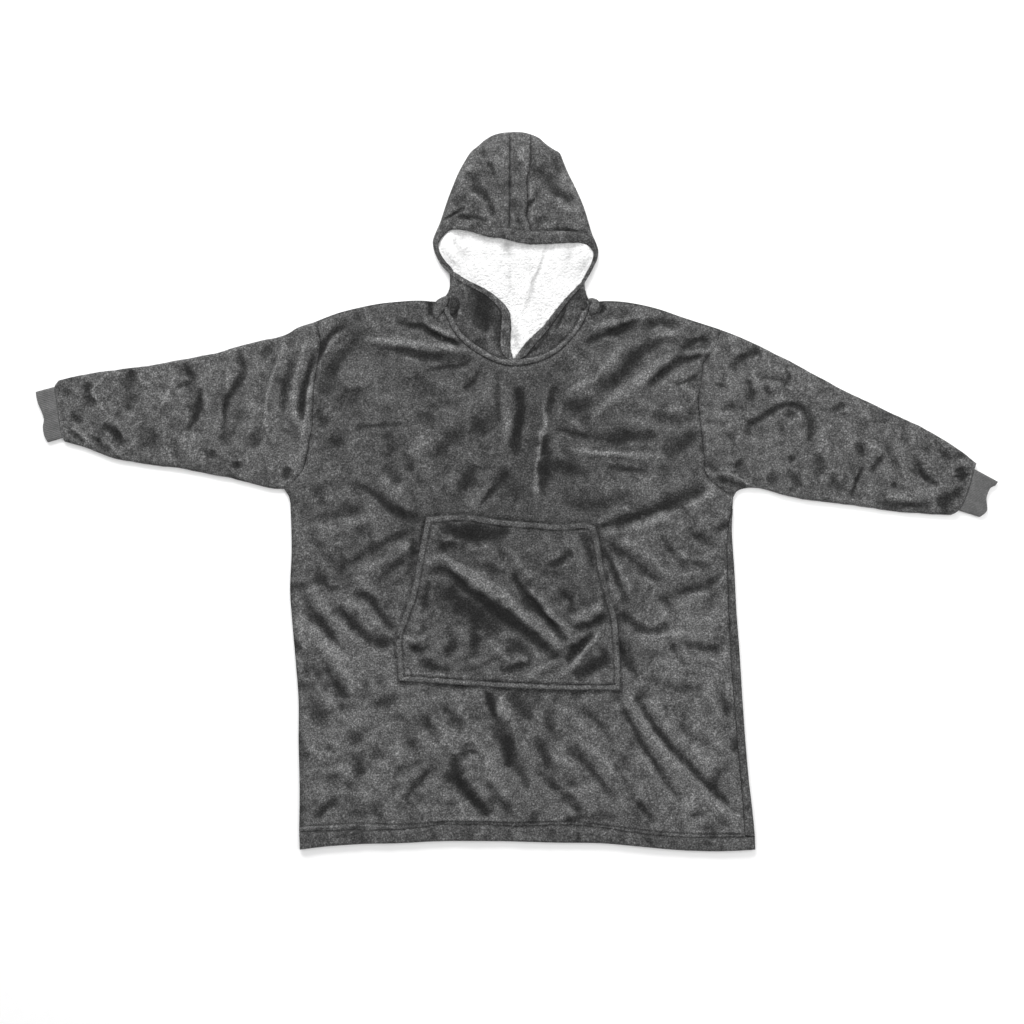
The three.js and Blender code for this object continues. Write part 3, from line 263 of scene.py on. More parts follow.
    ("D", 7.5, 1.35, [(-184, -83), (-187, -115), (-195, -152)]), ("D", 6.9, 1.8, [(-64, -353), (-46, -370), (-41, -395), (-37, -416)]),
    ("D", 11.2, 1.42, [(-36, -408), (-23, -437), (-11, -469), (5, -503), (27, -543)]), ("L", 8.7, 0.81, [(-26, -367), (-14, -395), (-2, -427)]),
    ("D", 16.2, 1.5, [(-6, -358), (10, -384), (27, -411)]), ("D", 11.2, 1.27, [(32, -437), (50, -471), (70, -508)]), ("D", 16.2, 1.72, [(-108, -468), (-111, -506), (-95, -535)]),
    ("D", 11.2, 1.5, [(-95, -535), (-71, -559), (-47, -581)]), ("L", 10, 1.08, [(-78, -432), (-60, -469), (-38, -506), (-14, -548)]), ("L", 5, 1.22, [(1, -522), (16, -549), (35, -575)]),
    ("D", 11.2, 1.42, [(44, -503), (69, -530), (101, -559), (130, -582)]), ("L", 11.2, 1.08, [(61, -538), (101, -535), (145, -536)]),
    ("L", 9.3, 0.81, [(101, -437), (143, -473), (182, -516), (206, -559)]), ("D", 9.3, 1.12, [(87, -458), (127, -493), (164, -535), (190, -569)]),
    ("D", 10, 0.9, [(116, -384), (148, -416), (174, -458)]), ("L", 8.7, 0.68, [(69, -379), (101, -405), (132, -437)]), ("D", 10, 1.05, [(-142, -384), (-116, -405), (-95, -437)]),
    ("L", 8.7, 0.68, [(-163, -395), (-137, -421), (-116, -458)]), ("D", 8.7, 1.05, [(-53, -522), (-21, -564), (0, -590)]), ("L", 8.7, 0.68, [(53, -469), (85, -490), (116, -506)]),
    ("D", 7.5, 0.9, [(79, -590), (116, -585), (159, -593)]), ("D", 12.5, 1.05, [(64, -384), (58, -416), (74, -448)]), ("L", 6.2, 0.81, [(-126, -574), (-95, -588), (-53, -590)]),
    ("D", 8.1, 1.5, [(181, -367), (201, -408), (225, -450), (251, -493), (283, -545), (296, -569)]),
    ("L", 10.6, 1.55, [(195, -370), (222, -408), (256, -453), (296, -496), (343, -548), (401, -591)]),
    ("D", 8.7, 1.72, [(211, -366), (243, -416), (283, -464), (322, -506), (365, -548), (399, -579)]), ("L", 10, 0.68, [(238, -374), (280, -427), (322, -474), (370, -522)]),
    ("D", 10, 0.75, [(285, -416), (328, -448), (370, -479)]), ("L", 8.7, 0.61, [(259, -532), (296, -564), (338, -588)]), ("D", 8.1, 0.9, [(217, -553), (238, -580), (248, -595)]),
    ("L", 7.5, 0.68, [(180, -543), (201, -574), (217, -595)]), ("D", 7.5, 0.9, [(312, -585), (328, -580), (338, -585)]), ("D", 7.5, 1.95, [(138, -63), (174, -56), (222, -42), (269, -26)]),
    ("L", 8.7, 0.81, [(153, -77), (196, -70), (243, -54), (296, -36)]), ("L", 10.6, 0.88, [(159, -65), (196, -89), (243, -120), (291, -160)]),
    ("D", 9.3, 0.98, [(153, -83), (196, -115), (238, -149), (280, -173)]), ("D", 7.5, 1.65, [(149, -94), (168, -126), (185, -168), (197, -200)]),
    ("L", 8.7, 0.68, [(169, -120), (190, -157), (206, -194)]), ("D", 10.6, 1.2, [(186, -214), (217, -242), (238, -252), (276, -238)]),
    ("L", 5, 0.94, [(227, -263), (275, -257), (322, -255), (370, -255)]), ("L", 10, 0.74, [(235, -244), (280, -215), (328, -186), (378, -156)]),
    ("D", 10, 1.05, [(256, -200), (301, -178), (343, -168), (372, -148)]), ("D", 8.7, 0.9, [(296, -73), (328, -83), (359, -105)]), ("L", 8.7, 0.61, [(285, -115), (322, -120), (365, -131)]),
    ("D", 7.5, 1.35, [(359, -68), (372, -60), (381, -52)]), ("D", 10, 0.9, [(291, -274), (333, -279), (370, -289)]), ("D", 11.2, 1.05, [(185, -263), (196, -300), (217, -332)]),
    ("L", 10, 0.68, [(243, -300), (291, -316), (349, -321)]), ("D", 11.2, 0.9, [(233, -332), (280, -353), (338, -353)]), ("L", 8.7, 0.61, [(317, -342), (349, -374), (370, -416)]),
    ("D", 8.7, 0.9, [(359, -342), (375, -384), (381, -427)]), ("D", 8.7, 0.75, [(259, -78), (280, -110), (312, -142)]), ("L", 5.1, 1.22, [(-167, 300), (-138, 286), (-110, 273)]),
    ("D", 5.9, 2.4, [(-169, 293), (-144, 279), (-120, 270), (-99, 266)]), ("D", 6.4, 1.95, [(-155, 345), (-155, 329), (-151, 313)]), ("D", 4.7, 2.25, [(150, 340), (153, 329), (148, 318)]),
    ("L", 6.4, 1.22, [(128, 289), (155, 298), (191, 307), (231, 313)]), ("D", 8.5, 1.8, [(119, 264), (148, 279), (184, 289), (222, 306)]),
]
POCKET_CREASES = [
    ("L", 12, 1.95, [(-162, -132), (-137, -120), (-111, -133), (-74, -156), (-39, -180), (11, -222), (58, -259), (100, -294)]),
    ("D", 9.5, 2.04, [(-162, -147), (-126, -143), (-95, -169), (-53, -201), (-10, -232), (43, -275), (87, -308)]), ("D", 21.5, 1.44, [(-150, -168), (-105, -197), (-63, -229), (-26, -255)]),
    ("D", 9.5, 1.95, [(-9, -148), (24, -192), (61, -235), (93, -271)]), ("L", 10.1, 1.44, [(13, -168), (50, -206), (85, -246), (103, -267)]),
    ("L", 10.8, 1.02, [(-14, -102), (3, -128), (27, -157)]), ("D", 8.9, 1.02, [(50, -134), (74, -128), (101, -107)]), ("D", 8.9, 1.1, [(74, -168), (95, -194), (101, -221)]),
    ("L", 9.5, 1.87, [(98, -229), (130, -218), (158, -201)]), ("D", 9.5, 1.53, [(101, -247), (130, -239), (161, -223)]), ("L", 7, 2.04, [(74, -336), (103, -308), (130, -275), (149, -253)]),
    ("D", 9.5, 1.95, [(87, -300), (114, -279), (138, -255)]), ("D", 12, 1.87, [(105, -337), (130, -317), (172, -294)]), ("L", 8.9, 1.53, [(17, -335), (56, -312), (87, -300)]),
    ("D", 8.9, 1.36, [(-31, -326), (-5, -317), (27, -310)]), ("D", 13.9, 1.87, [(-142, -65), (-95, -74), (-47, -74), (-10, -68)]), ("D", 10.1, 1.02, [(-145, -102), (-116, -95), (-84, -99)]),
    ("L", 11.4, 0.85, [(-137, -83), (-95, -94), (-47, -102)]), ("L", 10.1, 0.94, [(-169, -194), (-179, -226), (-187, -252)]), ("D", 8.2, 1.02, [(-158, -157), (-164, -189), (-174, -226)]),
    ("L", 6.3, 1.36, [(-205, -262), (-179, -268), (-159, -256)]), ("D", 6.3, 1.19, [(-194, -279), (-169, -284), (-153, -279)]), ("D", 12.7, 1.1, [(-79, -242), (-74, -274), (-79, -300)]),
    ("D", 11.4, 0.85, [(-126, -242), (-116, -268), (-126, -300)]), ("L", 12.7, 0.85, [(-53, -263), (-26, -289), (0, -310)]), ("D", 11.4, 1.02, [(32, -300), (0, -279), (-21, -263)]),
    ("D", 10.1, 1.02, [(116, -73), (130, -105), (138, -142)]), ("L", 8.9, 0.68, [(85, -83), (106, -115), (116, -152)]), ("D", 8.9, 0.94, [(153, -142), (164, -184), (169, -226)]),
    ("D", 11.4, 0.85, [(-63, -131), (-42, -142), (-21, -147)]), ("L", 11.4, 0.68, [(43, -73), (64, -94), (74, -120)]), ("D", 8.9, 0.85, [(-179, -300), (-148, -316), (-111, -324)]),
]
HOOD_CREASES = [
    ("D", 5.3, 1.44, [(-53, 593), (-44, 576), (-38, 561)]), ("D", 5.9, 0.94, [(-61, 618), (-59, 607), (-57, 595)]), ("L", 4, 1.06, [(-36, 607), (-36, 593), (-35, 581)]),
    ("D", 6.8, 1.5, [(-78, 541), (-58, 527), (-47, 511), (-41, 489)]), ("L", 4, 0.75, [(-81, 536), (-70, 525), (-61, 517)]), ("L", 5.9, 0.75, [(-36, 525), (-36, 511), (-37, 497)]),
    ("D", 4, 2.12, [(-136, 482), (-115, 494), (-91, 506)]), ("L", 3.1, 1.12, [(-132, 478), (-118, 489), (-101, 494), (-81, 498)]), ("D", 4.6, 1.38, [(-105, 491), (-73, 488), (-51, 481)]),
    ("D", 11.8, 0.94, [(-91, 570), (-73, 548), (-81, 531)]), ("D", 11.8, 1, [(-112, 511), (-101, 522), (-89, 525)]), ("D", 12.4, 1.19, [(40, 584), (54, 559), (68, 539), (100, 518)]),
    ("L", 9.9, 1.06, [(41, 518), (68, 523), (93, 503), (116, 499)]), ("D", 11.1, 0.69, [(32, 489), (43, 483), (57, 489)]),
    ("D", 2.5, 1.5, [(41, 466), (74, 468), (105, 466), (119, 466), (131, 460)]), ("D", 4, 1.19, [(39, 529), (23, 511), (17, 491)]), ("L", 5.9, 1.06, [(26, 550), (27, 534), (26, 517)]),
    ("D", 8, 0.75, [(9, 593), (3, 576), (1, 559)]), ("D", 5, 0.75, [(1, 491), (3, 480), (9, 475)]), ("D", 9.3, 0.75, [(82, 536), (93, 525), (105, 520)]),
    ("L", 9.3, 0.62, [(9, 624), (12, 604), (9, 587)]), ("L", 11.1, 0.5, [(-106, 548), (-98, 565), (-89, 581)]), ("D", 9.3, 0.75, [(60, 604), (71, 587), (79, 567)]),
    ("L", 8.7, 0.5, [(82, 576), (93, 553), (102, 539)]), ("D", 9.3, 0.62, [(-8, 525), (-5, 508), (3, 497)]), ("D", 9.9, 2, [(-84, 361), (-58, 347), (-42, 332)]),
    ("D", 13.6, 1.69, [(-71, 331), (-55, 314), (-61, 289)]), ("D", 9.3, 1.25, [(-36, 309), (-37, 283), (-33, 255)]), ("L", 5.9, 0.88, [(-99, 373), (-92, 354), (-94, 337)]),
    ("D", 3.7, 1.88, [(-106, 348), (-107, 328), (-110, 310)]), ("L", 5.6, 1.12, [(-104, 324), (-103, 318), (-100, 313)]), ("D", 3.4, 2, [(86, 337), (79, 314), (70, 291)]),
    ("L", 3.4, 0.88, [(89, 334), (86, 311), (77, 292)]), ("D", 3.1, 1.5, [(17, 243), (43, 266), (60, 287)]), ("L", 12.4, 0.44, [(105, 342), (99, 323), (88, 303)]),
    ("D", 9.3, 1, [(-87, 286), (-73, 269), (-53, 255)]), ("L", 6.2, 0.75, [(-28, 297), (-25, 278), (-26, 258)]), ("D", 10.5, 1, [(105, 362), (113, 351), (116, 337)]),
    ("D", 8, 0.62, [(32, 255), (51, 266), (74, 280)]), ("L", 6.2, 0.62, [(-92, 311), (-81, 297), (-67, 283)]),
]
LINING_CREASES = [
    ("D", 10.1, 1, [(-19, 450), (-16, 433), (-16, 415)]), ("D", 4.8, 0.8, [(53, 445), (45, 421), (37, 400), (32, 377), (24, 353), (17, 335), (8, 311)]),
    ("L", 9, 0.4, [(61, 430), (50, 400), (35, 362)]), ("D", 9, 0.8, [(-7, 299), (-4, 272), (-4, 251)]), ("L", 10.1, 0.3, [(-70, 412), (-49, 392), (-31, 368)]),
    ("D", 10.1, 0.5, [(-112, 454), (-100, 430), (-85, 406)]), ("D", 7.8, 0.4, [(94, 439), (94, 421), (88, 403)]), ("D", 5.4, 0.5, [(-13, 406), (-12, 386), (-10, 359)]),
]
HEM_CREASES = [
    ("D", 4.5, 0.6, [(108, -612), (110, -632)]), ("L", 4, 0.5, [(117, -608), (119, -630)]), ("D", 7, 0.5, [(-60, -610), (-52, -626)]),
    ("D", 6, 0.6, [(60, -606), (66, -624)]), ("D", 8, 0.5, [(-300, -618), (-270, -628)]), ("L", 6, 0.4, [(-220, -612), (-200, -626)]),
    ("D", 6, 0.5, [(230, -620), (250, -636)]), ("D", 7, 0.5, [(330, -626), (360, -640)]), ("L", 6, 0.4, [(286, -624), (296, -640)]),
    ("D", 5, 0.5, [(-152, -602), (-146, -624)]), ("L", 5, 0.4, [(-8, -606), (4, -624)]), ("D", 5, 0.45, [(180, -610), (190, -632)]),
]
BACK_CREASES = [
    ("D", 9, 0.9, [(-340, 250), (-250, 200), (-150, 180)]), ("D", 8, 0.8, [(300, 240), (230, 160), (140, 110)]), ("D", 8, 0.7, [(-330, 60), (-210, 40), (-80, 70)]),
    ("D", 9, 0.9, [(-30, 280), (-20, 150), (-45, 20)]), ("D", 8, 0.7, [(60, 250), (80, 120), (60, -30)]), ("D", 9, 0.8, [(330, 20), (220, -40), (100, -60)]),
    ("D", 8, 0.8, [(-350, -120), (-250, -190), (-160, -300)]), ("D", 8, 0.7, [(-120, -80), (-60, -200), (-80, -340)]), ("D", 9, 0.8, [(60, -120), (120, -260), (100, -400)]),
    ("D", 8, 0.8, [(340, -160), (270, -260), (250, -380)]), ("D", 8, 0.7, [(-360, -380), (-270, -420), (-180, -520)]), ("D", 9, 0.8, [(-60, -420), (30, -470), (60, -570)]),
    ("D", 8, 0.7, [(350, -420), (260, -480), (190, -580)]), ("D", 7, 0.6, [(-200, 120), (-150, 10), (-180, -90)]), ("D", 7, 0.6, [(200, 40), (180, -60), (210, -150)]),
    ("L", 9, 0.6, [(-300, 150), (-220, 110), (-120, 130)]), ("L", 9, 0.5, [(240, 60), (160, 20), (60, 50)]), ("L", 9, 0.5, [(-220, -240), (-150, -180), (-60, -150)]),
]

# ---------------------------------------------------------------- curves
def spline(rows, n, closed=False, columns=None):
    """The centripetal curve through a table's rows, cut into n equal steps."""
    p = np.array(rows, float)
    k = len(p)
    if closed:
        ext = np.vstack([p[-1], p, p[0], p[1]])
        spans = k
    else:
        ext = np.vstack([2 * p[0] - p[1], p, 2 * p[-1] - p[-2]])
        spans = k - 1
    t = np.linspace(0, 1, 17)[:-1]
    out = []
    for i in range(spans):
        p0, p1, p2, p3 = ext[i], ext[i + 1], ext[i + 2], ext[i + 3]
        d0 = max(np.linalg.norm((p1 - p0)[:2]), 1e-4) ** 0.5
        d1 = max(np.linalg.norm((p2 - p1)[:2]), 1e-4) ** 0.5
        d2 = max(np.linalg.norm((p3 - p2)[:2]), 1e-4) ** 0.5
        m1 = ((p1 - p0) / d0 - (p2 - p0) / (d0 + d1) + (p2 - p1) / d1) * d1
        m2 = ((p2 - p1) / d1 - (p3 - p1) / (d1 + d2) + (p3 - p2) / d2) * d1
        s = t[:, None]
        out.append((2 * s**3 - 3 * s**2 + 1) * p1 + (s**3 - 2 * s**2 + s) * m1 + (3 * s**2 - 2 * s**3) * p2 + (s**3 - s**2) * m2)
    out.append((p[:1] if closed else p[-1:]))
    return resample(np.vstack(out), n)


def resample(line, n):
    along = np.concatenate([[0], np.cumsum(np.linalg.norm(np.diff(line[:, :2], axis=0), axis=1))])
    at = np.linspace(0, along[-1], n + 1)
    return np.stack([np.interp(at, along, line[:, k]) for k in range(line.shape[1])], axis=1)


def length(line):
    return float(np.linalg.norm(np.diff(line, axis=0), axis=1).sum())


def join(*lines):
    return np.vstack([lines[0]] + [part[1:] for part in lines[1:]])


def at(line, t):
    s = np.clip(t, 0, 1) * (len(line) - 1)
    i = np.minimum(s.astype(int), len(line) - 2)
    f = (s - i)[..., None]
    return line[i] * (1 - f) + line[i + 1] * f


def coons(bottom, top, left, right, us, vs):
    """Plane points of the patch between four edges; rows run with vs."""
    b, t = at(bottom, us)[None], at(top, us)[None]
    l, r = at(left, vs)[:, None], at(right, vs)[:, None]
    u, v = us[None, :, None], vs[:, None, None]
    return ((1 - v) * b + v * t + (1 - u) * l + u * r
            - ((1 - u) * (1 - v) * bottom[0] + u * (1 - v) * bottom[-1] + (1 - u) * v * top[0] + u * v * top[-1]))


def nearest(x, y, line):
    """Distance to a polyline, and how far along it the nearest place is, 0 to 1."""
    shape = np.shape(x)
    p = np.stack([np.ravel(x), np.ravel(y)], axis=1)
    a, d = line[:-1, :2], np.diff(line[:, :2], axis=0)
    l2 = np.maximum((d * d).sum(1), 1e-9)
    best, where = np.full(len(p), 1e9), np.zeros(len(p))
    for k in range(0, len(p), 30000):
        q = p[k:k + 30000, None] - a[None]
        t = np.clip((q * d).sum(2) / l2, 0, 1)
        e = q - t[..., None] * d
        r = (e * e).sum(2)
        j = r.argmin(1)
        rows = np.arange(len(j))
        best[k:k + 30000] = np.sqrt(r[rows, j])
        where[k:k + 30000] = (j + t[rows, j]) / len(a)
    return best.reshape(shape), where.reshape(shape)


def distance(x, y, line):
    return nearest(x, y, line)[0]


def inside(x, y, loop):
    """Whether points are inside a closed polyline."""
    x, y = np.asarray(x), np.asarray(y)
    hit = np.zeros(x.shape, bool)
    for (x1, y1), (x2, y2) in zip(loop, np.roll(loop, -1, axis=0)):
        if y1 != y2:
            hit ^= ((y1 > y) != (y2 > y)) & (x < (x2 - x1) * (y - y1) / (y2 - y1) + x1)
    return hit


def ease(t):
    c = np.clip(t, 0, 1)
    return c * c * (3 - 2 * c)


def rounded(t):
    return np.sqrt(np.clip(1 - (1 - np.clip(t, 0, 1)) ** 2, 0, 1))


# ---------------------------------------------------------------- noise, the same each run
def lattice(ix, iy, seed):
    h = (ix * 374761393 + iy * 668265263 + seed * 1442695041) & 0xFFFFFFFF
    h = ((h ^ (h >> 13)) * 1274126177) & 0xFFFFFFFF
    return (h ^ (h >> 16)) / 4294967296.0 * 2 * math.pi


def noise(x, y, seed=1):
    """Smooth gradient noise, about -1 to 1."""
    x0, y0 = np.floor(x).astype(np.int64), np.floor(y).astype(np.int64)
    fx, fy = x - x0, y - y0

    def corner(dx, dy):
        a = lattice(x0 + dx, y0 + dy, seed)
        return np.cos(a) * (fx - dx) + np.sin(a) * (fy - dy)

    u, v = fx**3 * (fx * (fx * 6 - 15) + 10), fy**3 * (fy * (fy * 6 - 15) + 10)
    top = corner(0, 0) * (1 - u) + corner(1, 0) * u
    low = corner(0, 1) * (1 - u) + corner(1, 1) * u
    return (top * (1 - v) + low * v) * 1.5


def fbm(x, y, seed=1, octaves=3, gain=0.5):
    total, amp, norm = 0, 1.0, 0
    for k in range(octaves):
        total = total + amp * noise(x, y, seed + 17 * k)
        norm += amp
        amp *= gain
        x, y = 1.9 * x + 0.7 * y + 3.1, -0.7 * x + 1.9 * y + 7.7
    return total / norm


def turned(x, y, degrees, along, across):
    """Coordinates stretched so that noise makes strokes at that angle."""
    a = math.radians(degrees)
    return (x * math.cos(a) + y * math.sin(a)) / along, (-x * math.sin(a) + y * math.cos(a)) / across


def blur(z, n):
    """Box blur of a grid, twice each way."""
    for axis in (0, 1, 0, 1):
        pad = [(0, 0), (0, 0)]
        pad[axis] = (n + 1, n)
        c = np.cumsum(np.pad(z, pad, mode="edge"), axis=axis)
        z = (c[2 * n + 1:] - c[:-2 * n - 1]) / (2 * n + 1) if axis == 0 else (c[:, 2 * n + 1:] - c[:, :-2 * n - 1]) / (2 * n + 1)
    return z


# ---------------------------------------------------------------- creases
def creases(x, y, rows, wobble=1.4):
    """Height of the listed creases at x, y, with their painted highlight and painted shade."""
    z, nap = np.zeros(np.shape(x)), np.zeros(np.shape(x))
    wx = x + wobble * noise(x / 19, y / 19, 71) + 2 * wobble * noise(x / 60, y / 60, 72)
    wy = y + wobble * noise(x / 19, y / 19, 73) + 2 * wobble * noise(x / 60, y / 60, 74)
    for k, (tone, width, strength, course) in enumerate(rows):
        line = spline(course, 5 * len(course))
        low, high = line.min(0) - 3 * width, line.max(0) + 3 * width
        m = (wx > low[0]) & (wx < high[0]) & (wy > low[1]) & (wy < high[1])
        if not m.any():
            continue
        d, t = nearest(wx[m], wy[m], line)
        taper = np.sin(math.pi * np.clip(t, 0.0, 1.0)) ** 0.6
        wide = width * (0.8 + 0.4 * noise(t * 4, np.full(t.shape, 7.7 * k), 75))
        uneven = 0.95 + 0.35 * noise(t * 5 + 3.3 * k, np.full(t.shape, 1.9 * k), 76)
        w = np.exp(-((d / wide) ** 2)) * taper * strength * uneven
        if tone == "L":
            z[m] += CREASE_UP * min(width, 10) * w
            # painted highlight along the ridge
            nap[m] += 0.80 * w
        else:
            z[m] -= CREASE_DOWN * min(width, 10) * w
            # painted shade in the trough
            nap[m] -= 1.45 * w
    z = 4.5 * np.tanh(z / 4.5)
    return z, nap


CREASE_UP, CREASE_DOWN = 0.50, 0.40


# ---------------------------------------------------------------- meshes
class Net:
    """Collects vertices, their tone with painted shade and highlight, and faces."""

    def __init__(self):
        self.co, self.nap, self.faces, self.count = [], [], [], 0

    def points(self, co, nap):
        co = np.asarray(co, float).reshape(-1, 3)
        first = self.count
        self.co.append(co)
        self.nap.append(np.broadcast_to(np.ravel(nap), (len(co),)).astype(float))
        self.count += len(co)
        return first

    def quads(self, faces):
        faces = np.asarray(faces, np.int64).reshape(-1, 4)
        if len(faces):
            self.faces.append(faces)

    def polygon(self, ids):
        self.faces.append([list(ids)])


def make(name, net, material, nodes=()):
    co = np.vstack(net.co) * MM
    nap = np.concatenate(net.nap)
    nap = np.where(nap > 0, 1.25 * np.tanh(nap / 1.25), 2.7 * np.tanh(nap / 2.7))
    loops, totals = [], []
    for block in net.faces:
        if isinstance(block, np.ndarray):
            loops.append(block.ravel())
            totals.append(np.full(len(block), block.shape[1]))
        else:
            for ids in block:
                loops.append(np.array(ids))
                totals.append(np.array([len(ids)]))
    loops, totals = np.concatenate(loops), np.concatenate(totals)
    # every face looks outwards: the signed volume of the whole cloth is positive
    starts = np.concatenate([[0], np.cumsum(totals)[:-1]])
    volume = 0.0
    for k in range(1, int(totals.max()) - 1):
        f = totals > k + 1
        a, b, c = co[loops[starts[f]]], co[loops[starts[f] + k]], co[loops[starts[f] + k + 1]]
        volume += float((a * np.cross(b, c)).sum())
    if volume < 0:
        owner = np.repeat(np.arange(len(totals)), totals)
        within = np.arange(len(loops)) - starts[owner]
        loops = loops[starts[owner] + totals[owner] - 1 - within]
    used = np.unique(loops)
    remap = np.full(len(co), -1, np.int64)
    remap[used] = np.arange(len(used))
    co, nap, loops = co[used], nap[used], remap[loops]
    mesh = bpy.data.meshes.new(name)
    mesh.vertices.add(len(co))
    mesh.vertices.foreach_set("co", co.ravel())
    mesh.loops.add(len(loops))
    mesh.loops.foreach_set("vertex_index", loops.astype(np.int32))
    mesh.polygons.add(len(totals))
    mesh.polygons.foreach_set("loop_start", np.concatenate([[0], np.cumsum(totals)[:-1]]).astype(np.int32))
    mesh.polygons.foreach_set("loop_total", totals.astype(np.int32))
    mesh.update(calc_edges=True)
    mesh.polygons.foreach_set("use_smooth", np.ones(len(totals), bool))
    # one value per point, in stops: the cloth's random tone together with painted shade and painted highlight
    layer = mesh.attributes.new("nap", "FLOAT", "POINT")
    layer.data.foreach_set("value", nap.astype(np.float32))
    mesh.materials.append(material)
    mesh.update()
    obj = bpy.data.objects.new(name, mesh)
    bpy.context.scene.collection.objects.link(obj)
    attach(obj, "root")
    if nodes:
        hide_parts(*nodes)
    return obj


def grid_faces(first, rows, columns, keep=None, flip=False, wrap=False):
    """Quads over a grid of points; wrap joins the last column to the first."""
    cols = columns if wrap else columns - 1
    j, i = np.meshgrid(np.arange(rows - 1), np.arange(cols), indexing="ij")
    i2 = (i + 1) % columns
    q = np.stack([j * columns + i, j * columns + i2, (j + 1) * columns + i2, (j + 1) * columns + i], axis=-1) + first
    q = q[keep] if keep is not None else q.reshape(-1, 4)
    return q[:, ::-1] if flip else q


def stations(n, k):
    """Every k-th of n + 1 stations, with the last."""
    s = list(range(0, n, k))
    if n - s[-1] < k / 2 and len(s) > 1:
        s.pop()
    return np.array(s + [n])


def slab(net, upper, lower, nap, k=1, nap_low=0.0):
    """Cloth between an upper and a lower grid; the lower has every k-th station, and the rim joins them."""
    rows, cols = upper.shape[:2]
    a = net.points(upper, nap)
    net.quads(grid_faces(a, rows, cols))
    js, is_ = stations(rows - 1, k), stations(cols - 1, k)
    low = lower[np.ix_(js, is_)]
    nl = np.broadcast_to(nap_low, (rows, cols))[np.ix_(js, is_)]
    b = net.points(low, nl)
    net.quads(grid_faces(b, len(js), len(is_), flip=True))
    up = lambda j, i: a + j * cols + i
    dn = lambda j, i: b + j * len(is_) + i
    for n in range(len(is_) - 1):
        i0, i1 = is_[n], is_[n + 1]
        net.polygon([dn(0, n), dn(0, n + 1)] + [up(0, i) for i in range(i1, i0 - 1, -1)])
        net.polygon([dn(len(js) - 1, n + 1), dn(len(js) - 1, n)] + [up(rows - 1, i) for i in range(i0, i1 + 1)])
    for n in range(len(js) - 1):
        j0, j1 = js[n], js[n + 1]
        net.polygon([dn(n, len(is_) - 1), dn(n + 1, len(is_) - 1)] + [up(j, cols - 1) for j in range(j1, j0 - 1, -1)])
        net.polygon([dn(n + 1, 0), dn(n, 0)] + [up(j, 0) for j in range(j0, j1 + 1)])


def tube(net, outer, inner, nap, js, is_, nap_in=-0.6):
    """Cloth round a tube, rows along it and columns round it; the inside has only the stations js, is_."""
    rows, cols = outer.shape[:2]
    a = net.points(outer, nap)
    net.quads(grid_faces(a, rows, cols, wrap=True))
    low = inner[np.ix_(js, is_)]
    b = net.points(low, nap_in)
    n = len(is_)
    net.quads(grid_faces(b, len(js), n, flip=True, wrap=True))
    for k in range(n):
        i0, i1 = is_[k], is_[(k + 1) % n]
        i1 = i1 if i1 > i0 else i1 + cols
        span = [i % cols for i in range(i0, i1 + 1)]
        net.polygon([b + k, b + (k + 1) % n] + [a + i for i in reversed(span)])
        last = b + (len(js) - 1) * n
        net.polygon([last + (k + 1) % n, last + k] + [a + (rows - 1) * cols + i for i in span])


def rod(net, rings, nap):
    """A closed rod through rings of points, with a cap at each end."""
    rows, cols = rings.shape[:2]
    a = net.points(rings, nap)
    net.quads(grid_faces(a, rows, cols, wrap=True))
    net.polygon([a + i for i in reversed(range(cols))])
    net.polygon([a + (rows - 1) * cols + i for i in range(cols)])


def ring(net, sections, nap):
    """Sections that close on themselves."""
    rows, cols = sections.shape[:2]
    a = net.points(sections, nap)
    j, i = np.meshgrid(np.arange(rows), np.arange(cols), indexing="ij")
    j2, i2 = (j + 1) % rows, (i + 1) % cols
    net.quads((np.stack([j * cols + i, j * cols + i2, j2 * cols + i2, j2 * cols + i], axis=-1) + a).reshape(-1, 4))


def stitches(net, line, height, long=3.4, gap=1.5, wide=0.9, tall=0.55, nap=0.0):
    """A row of raised thread stitches along a course."""
    n = max(1, int(length(line[:, :2]) / (long + gap)))
    mids = (np.arange(n) + 0.5) / n
    step = 0.5 * long / length(line[:, :2])
    p, q, m = at(line, mids - step)[:, :2], at(line, mids + step)[:, :2], at(line, mids)[:, :2]
    d = (q - p) / np.maximum(np.linalg.norm(q - p, axis=1), 1e-6)[:, None]
    s = np.stack([-d[:, 1], d[:, 0]], axis=1)
    z = height(m[:, 0], m[:, 1])
    zp, zq = height(p[:, 0], p[:, 1]), height(q[:, 0], q[:, 1])
    rings = []
    for t, r, lift in ((-1, 0.25, -0.25), (-0.6, 0.85, 0.05), (0, 1, 0.16), (0.6, 0.85, 0.05), (1, 0.25, -0.25)):
        c = m + d * (t * long / 2)
        zc = z + (zq - z) * max(t, 0) + (zp - z) * max(-t, 0) + lift
        rings.append(np.stack([np.concatenate([c + s * (math.cos(a) * wide / 2 * r), (zc + math.sin(a) * tall * r)[:, None]], axis=1)
                               for a in np.linspace(0, 2 * math.pi, 7)[:-1]], axis=1))
    co = np.stack(rings, axis=1)  # stitch, ring, around, xyz
    first = net.points(co, nap)
    around, count = 6, 30
    base = (np.arange(len(m)) * count)[:, None]
    faces = []
    for j in range(4):
        for i in range(around):
            i2 = (i + 1) % around
            faces.append([j * around + i, j * around + i2, (j + 1) * around + i2, (j + 1) * around + i])
    faces += [[0, 5, 4, 3], [0, 3, 2, 1], [24, 25, 26, 27], [24, 27, 28, 29]]
    f = np.array(faces)
    net.quads((f[None] + base[:, :, None] + first).reshape(-1, 4))
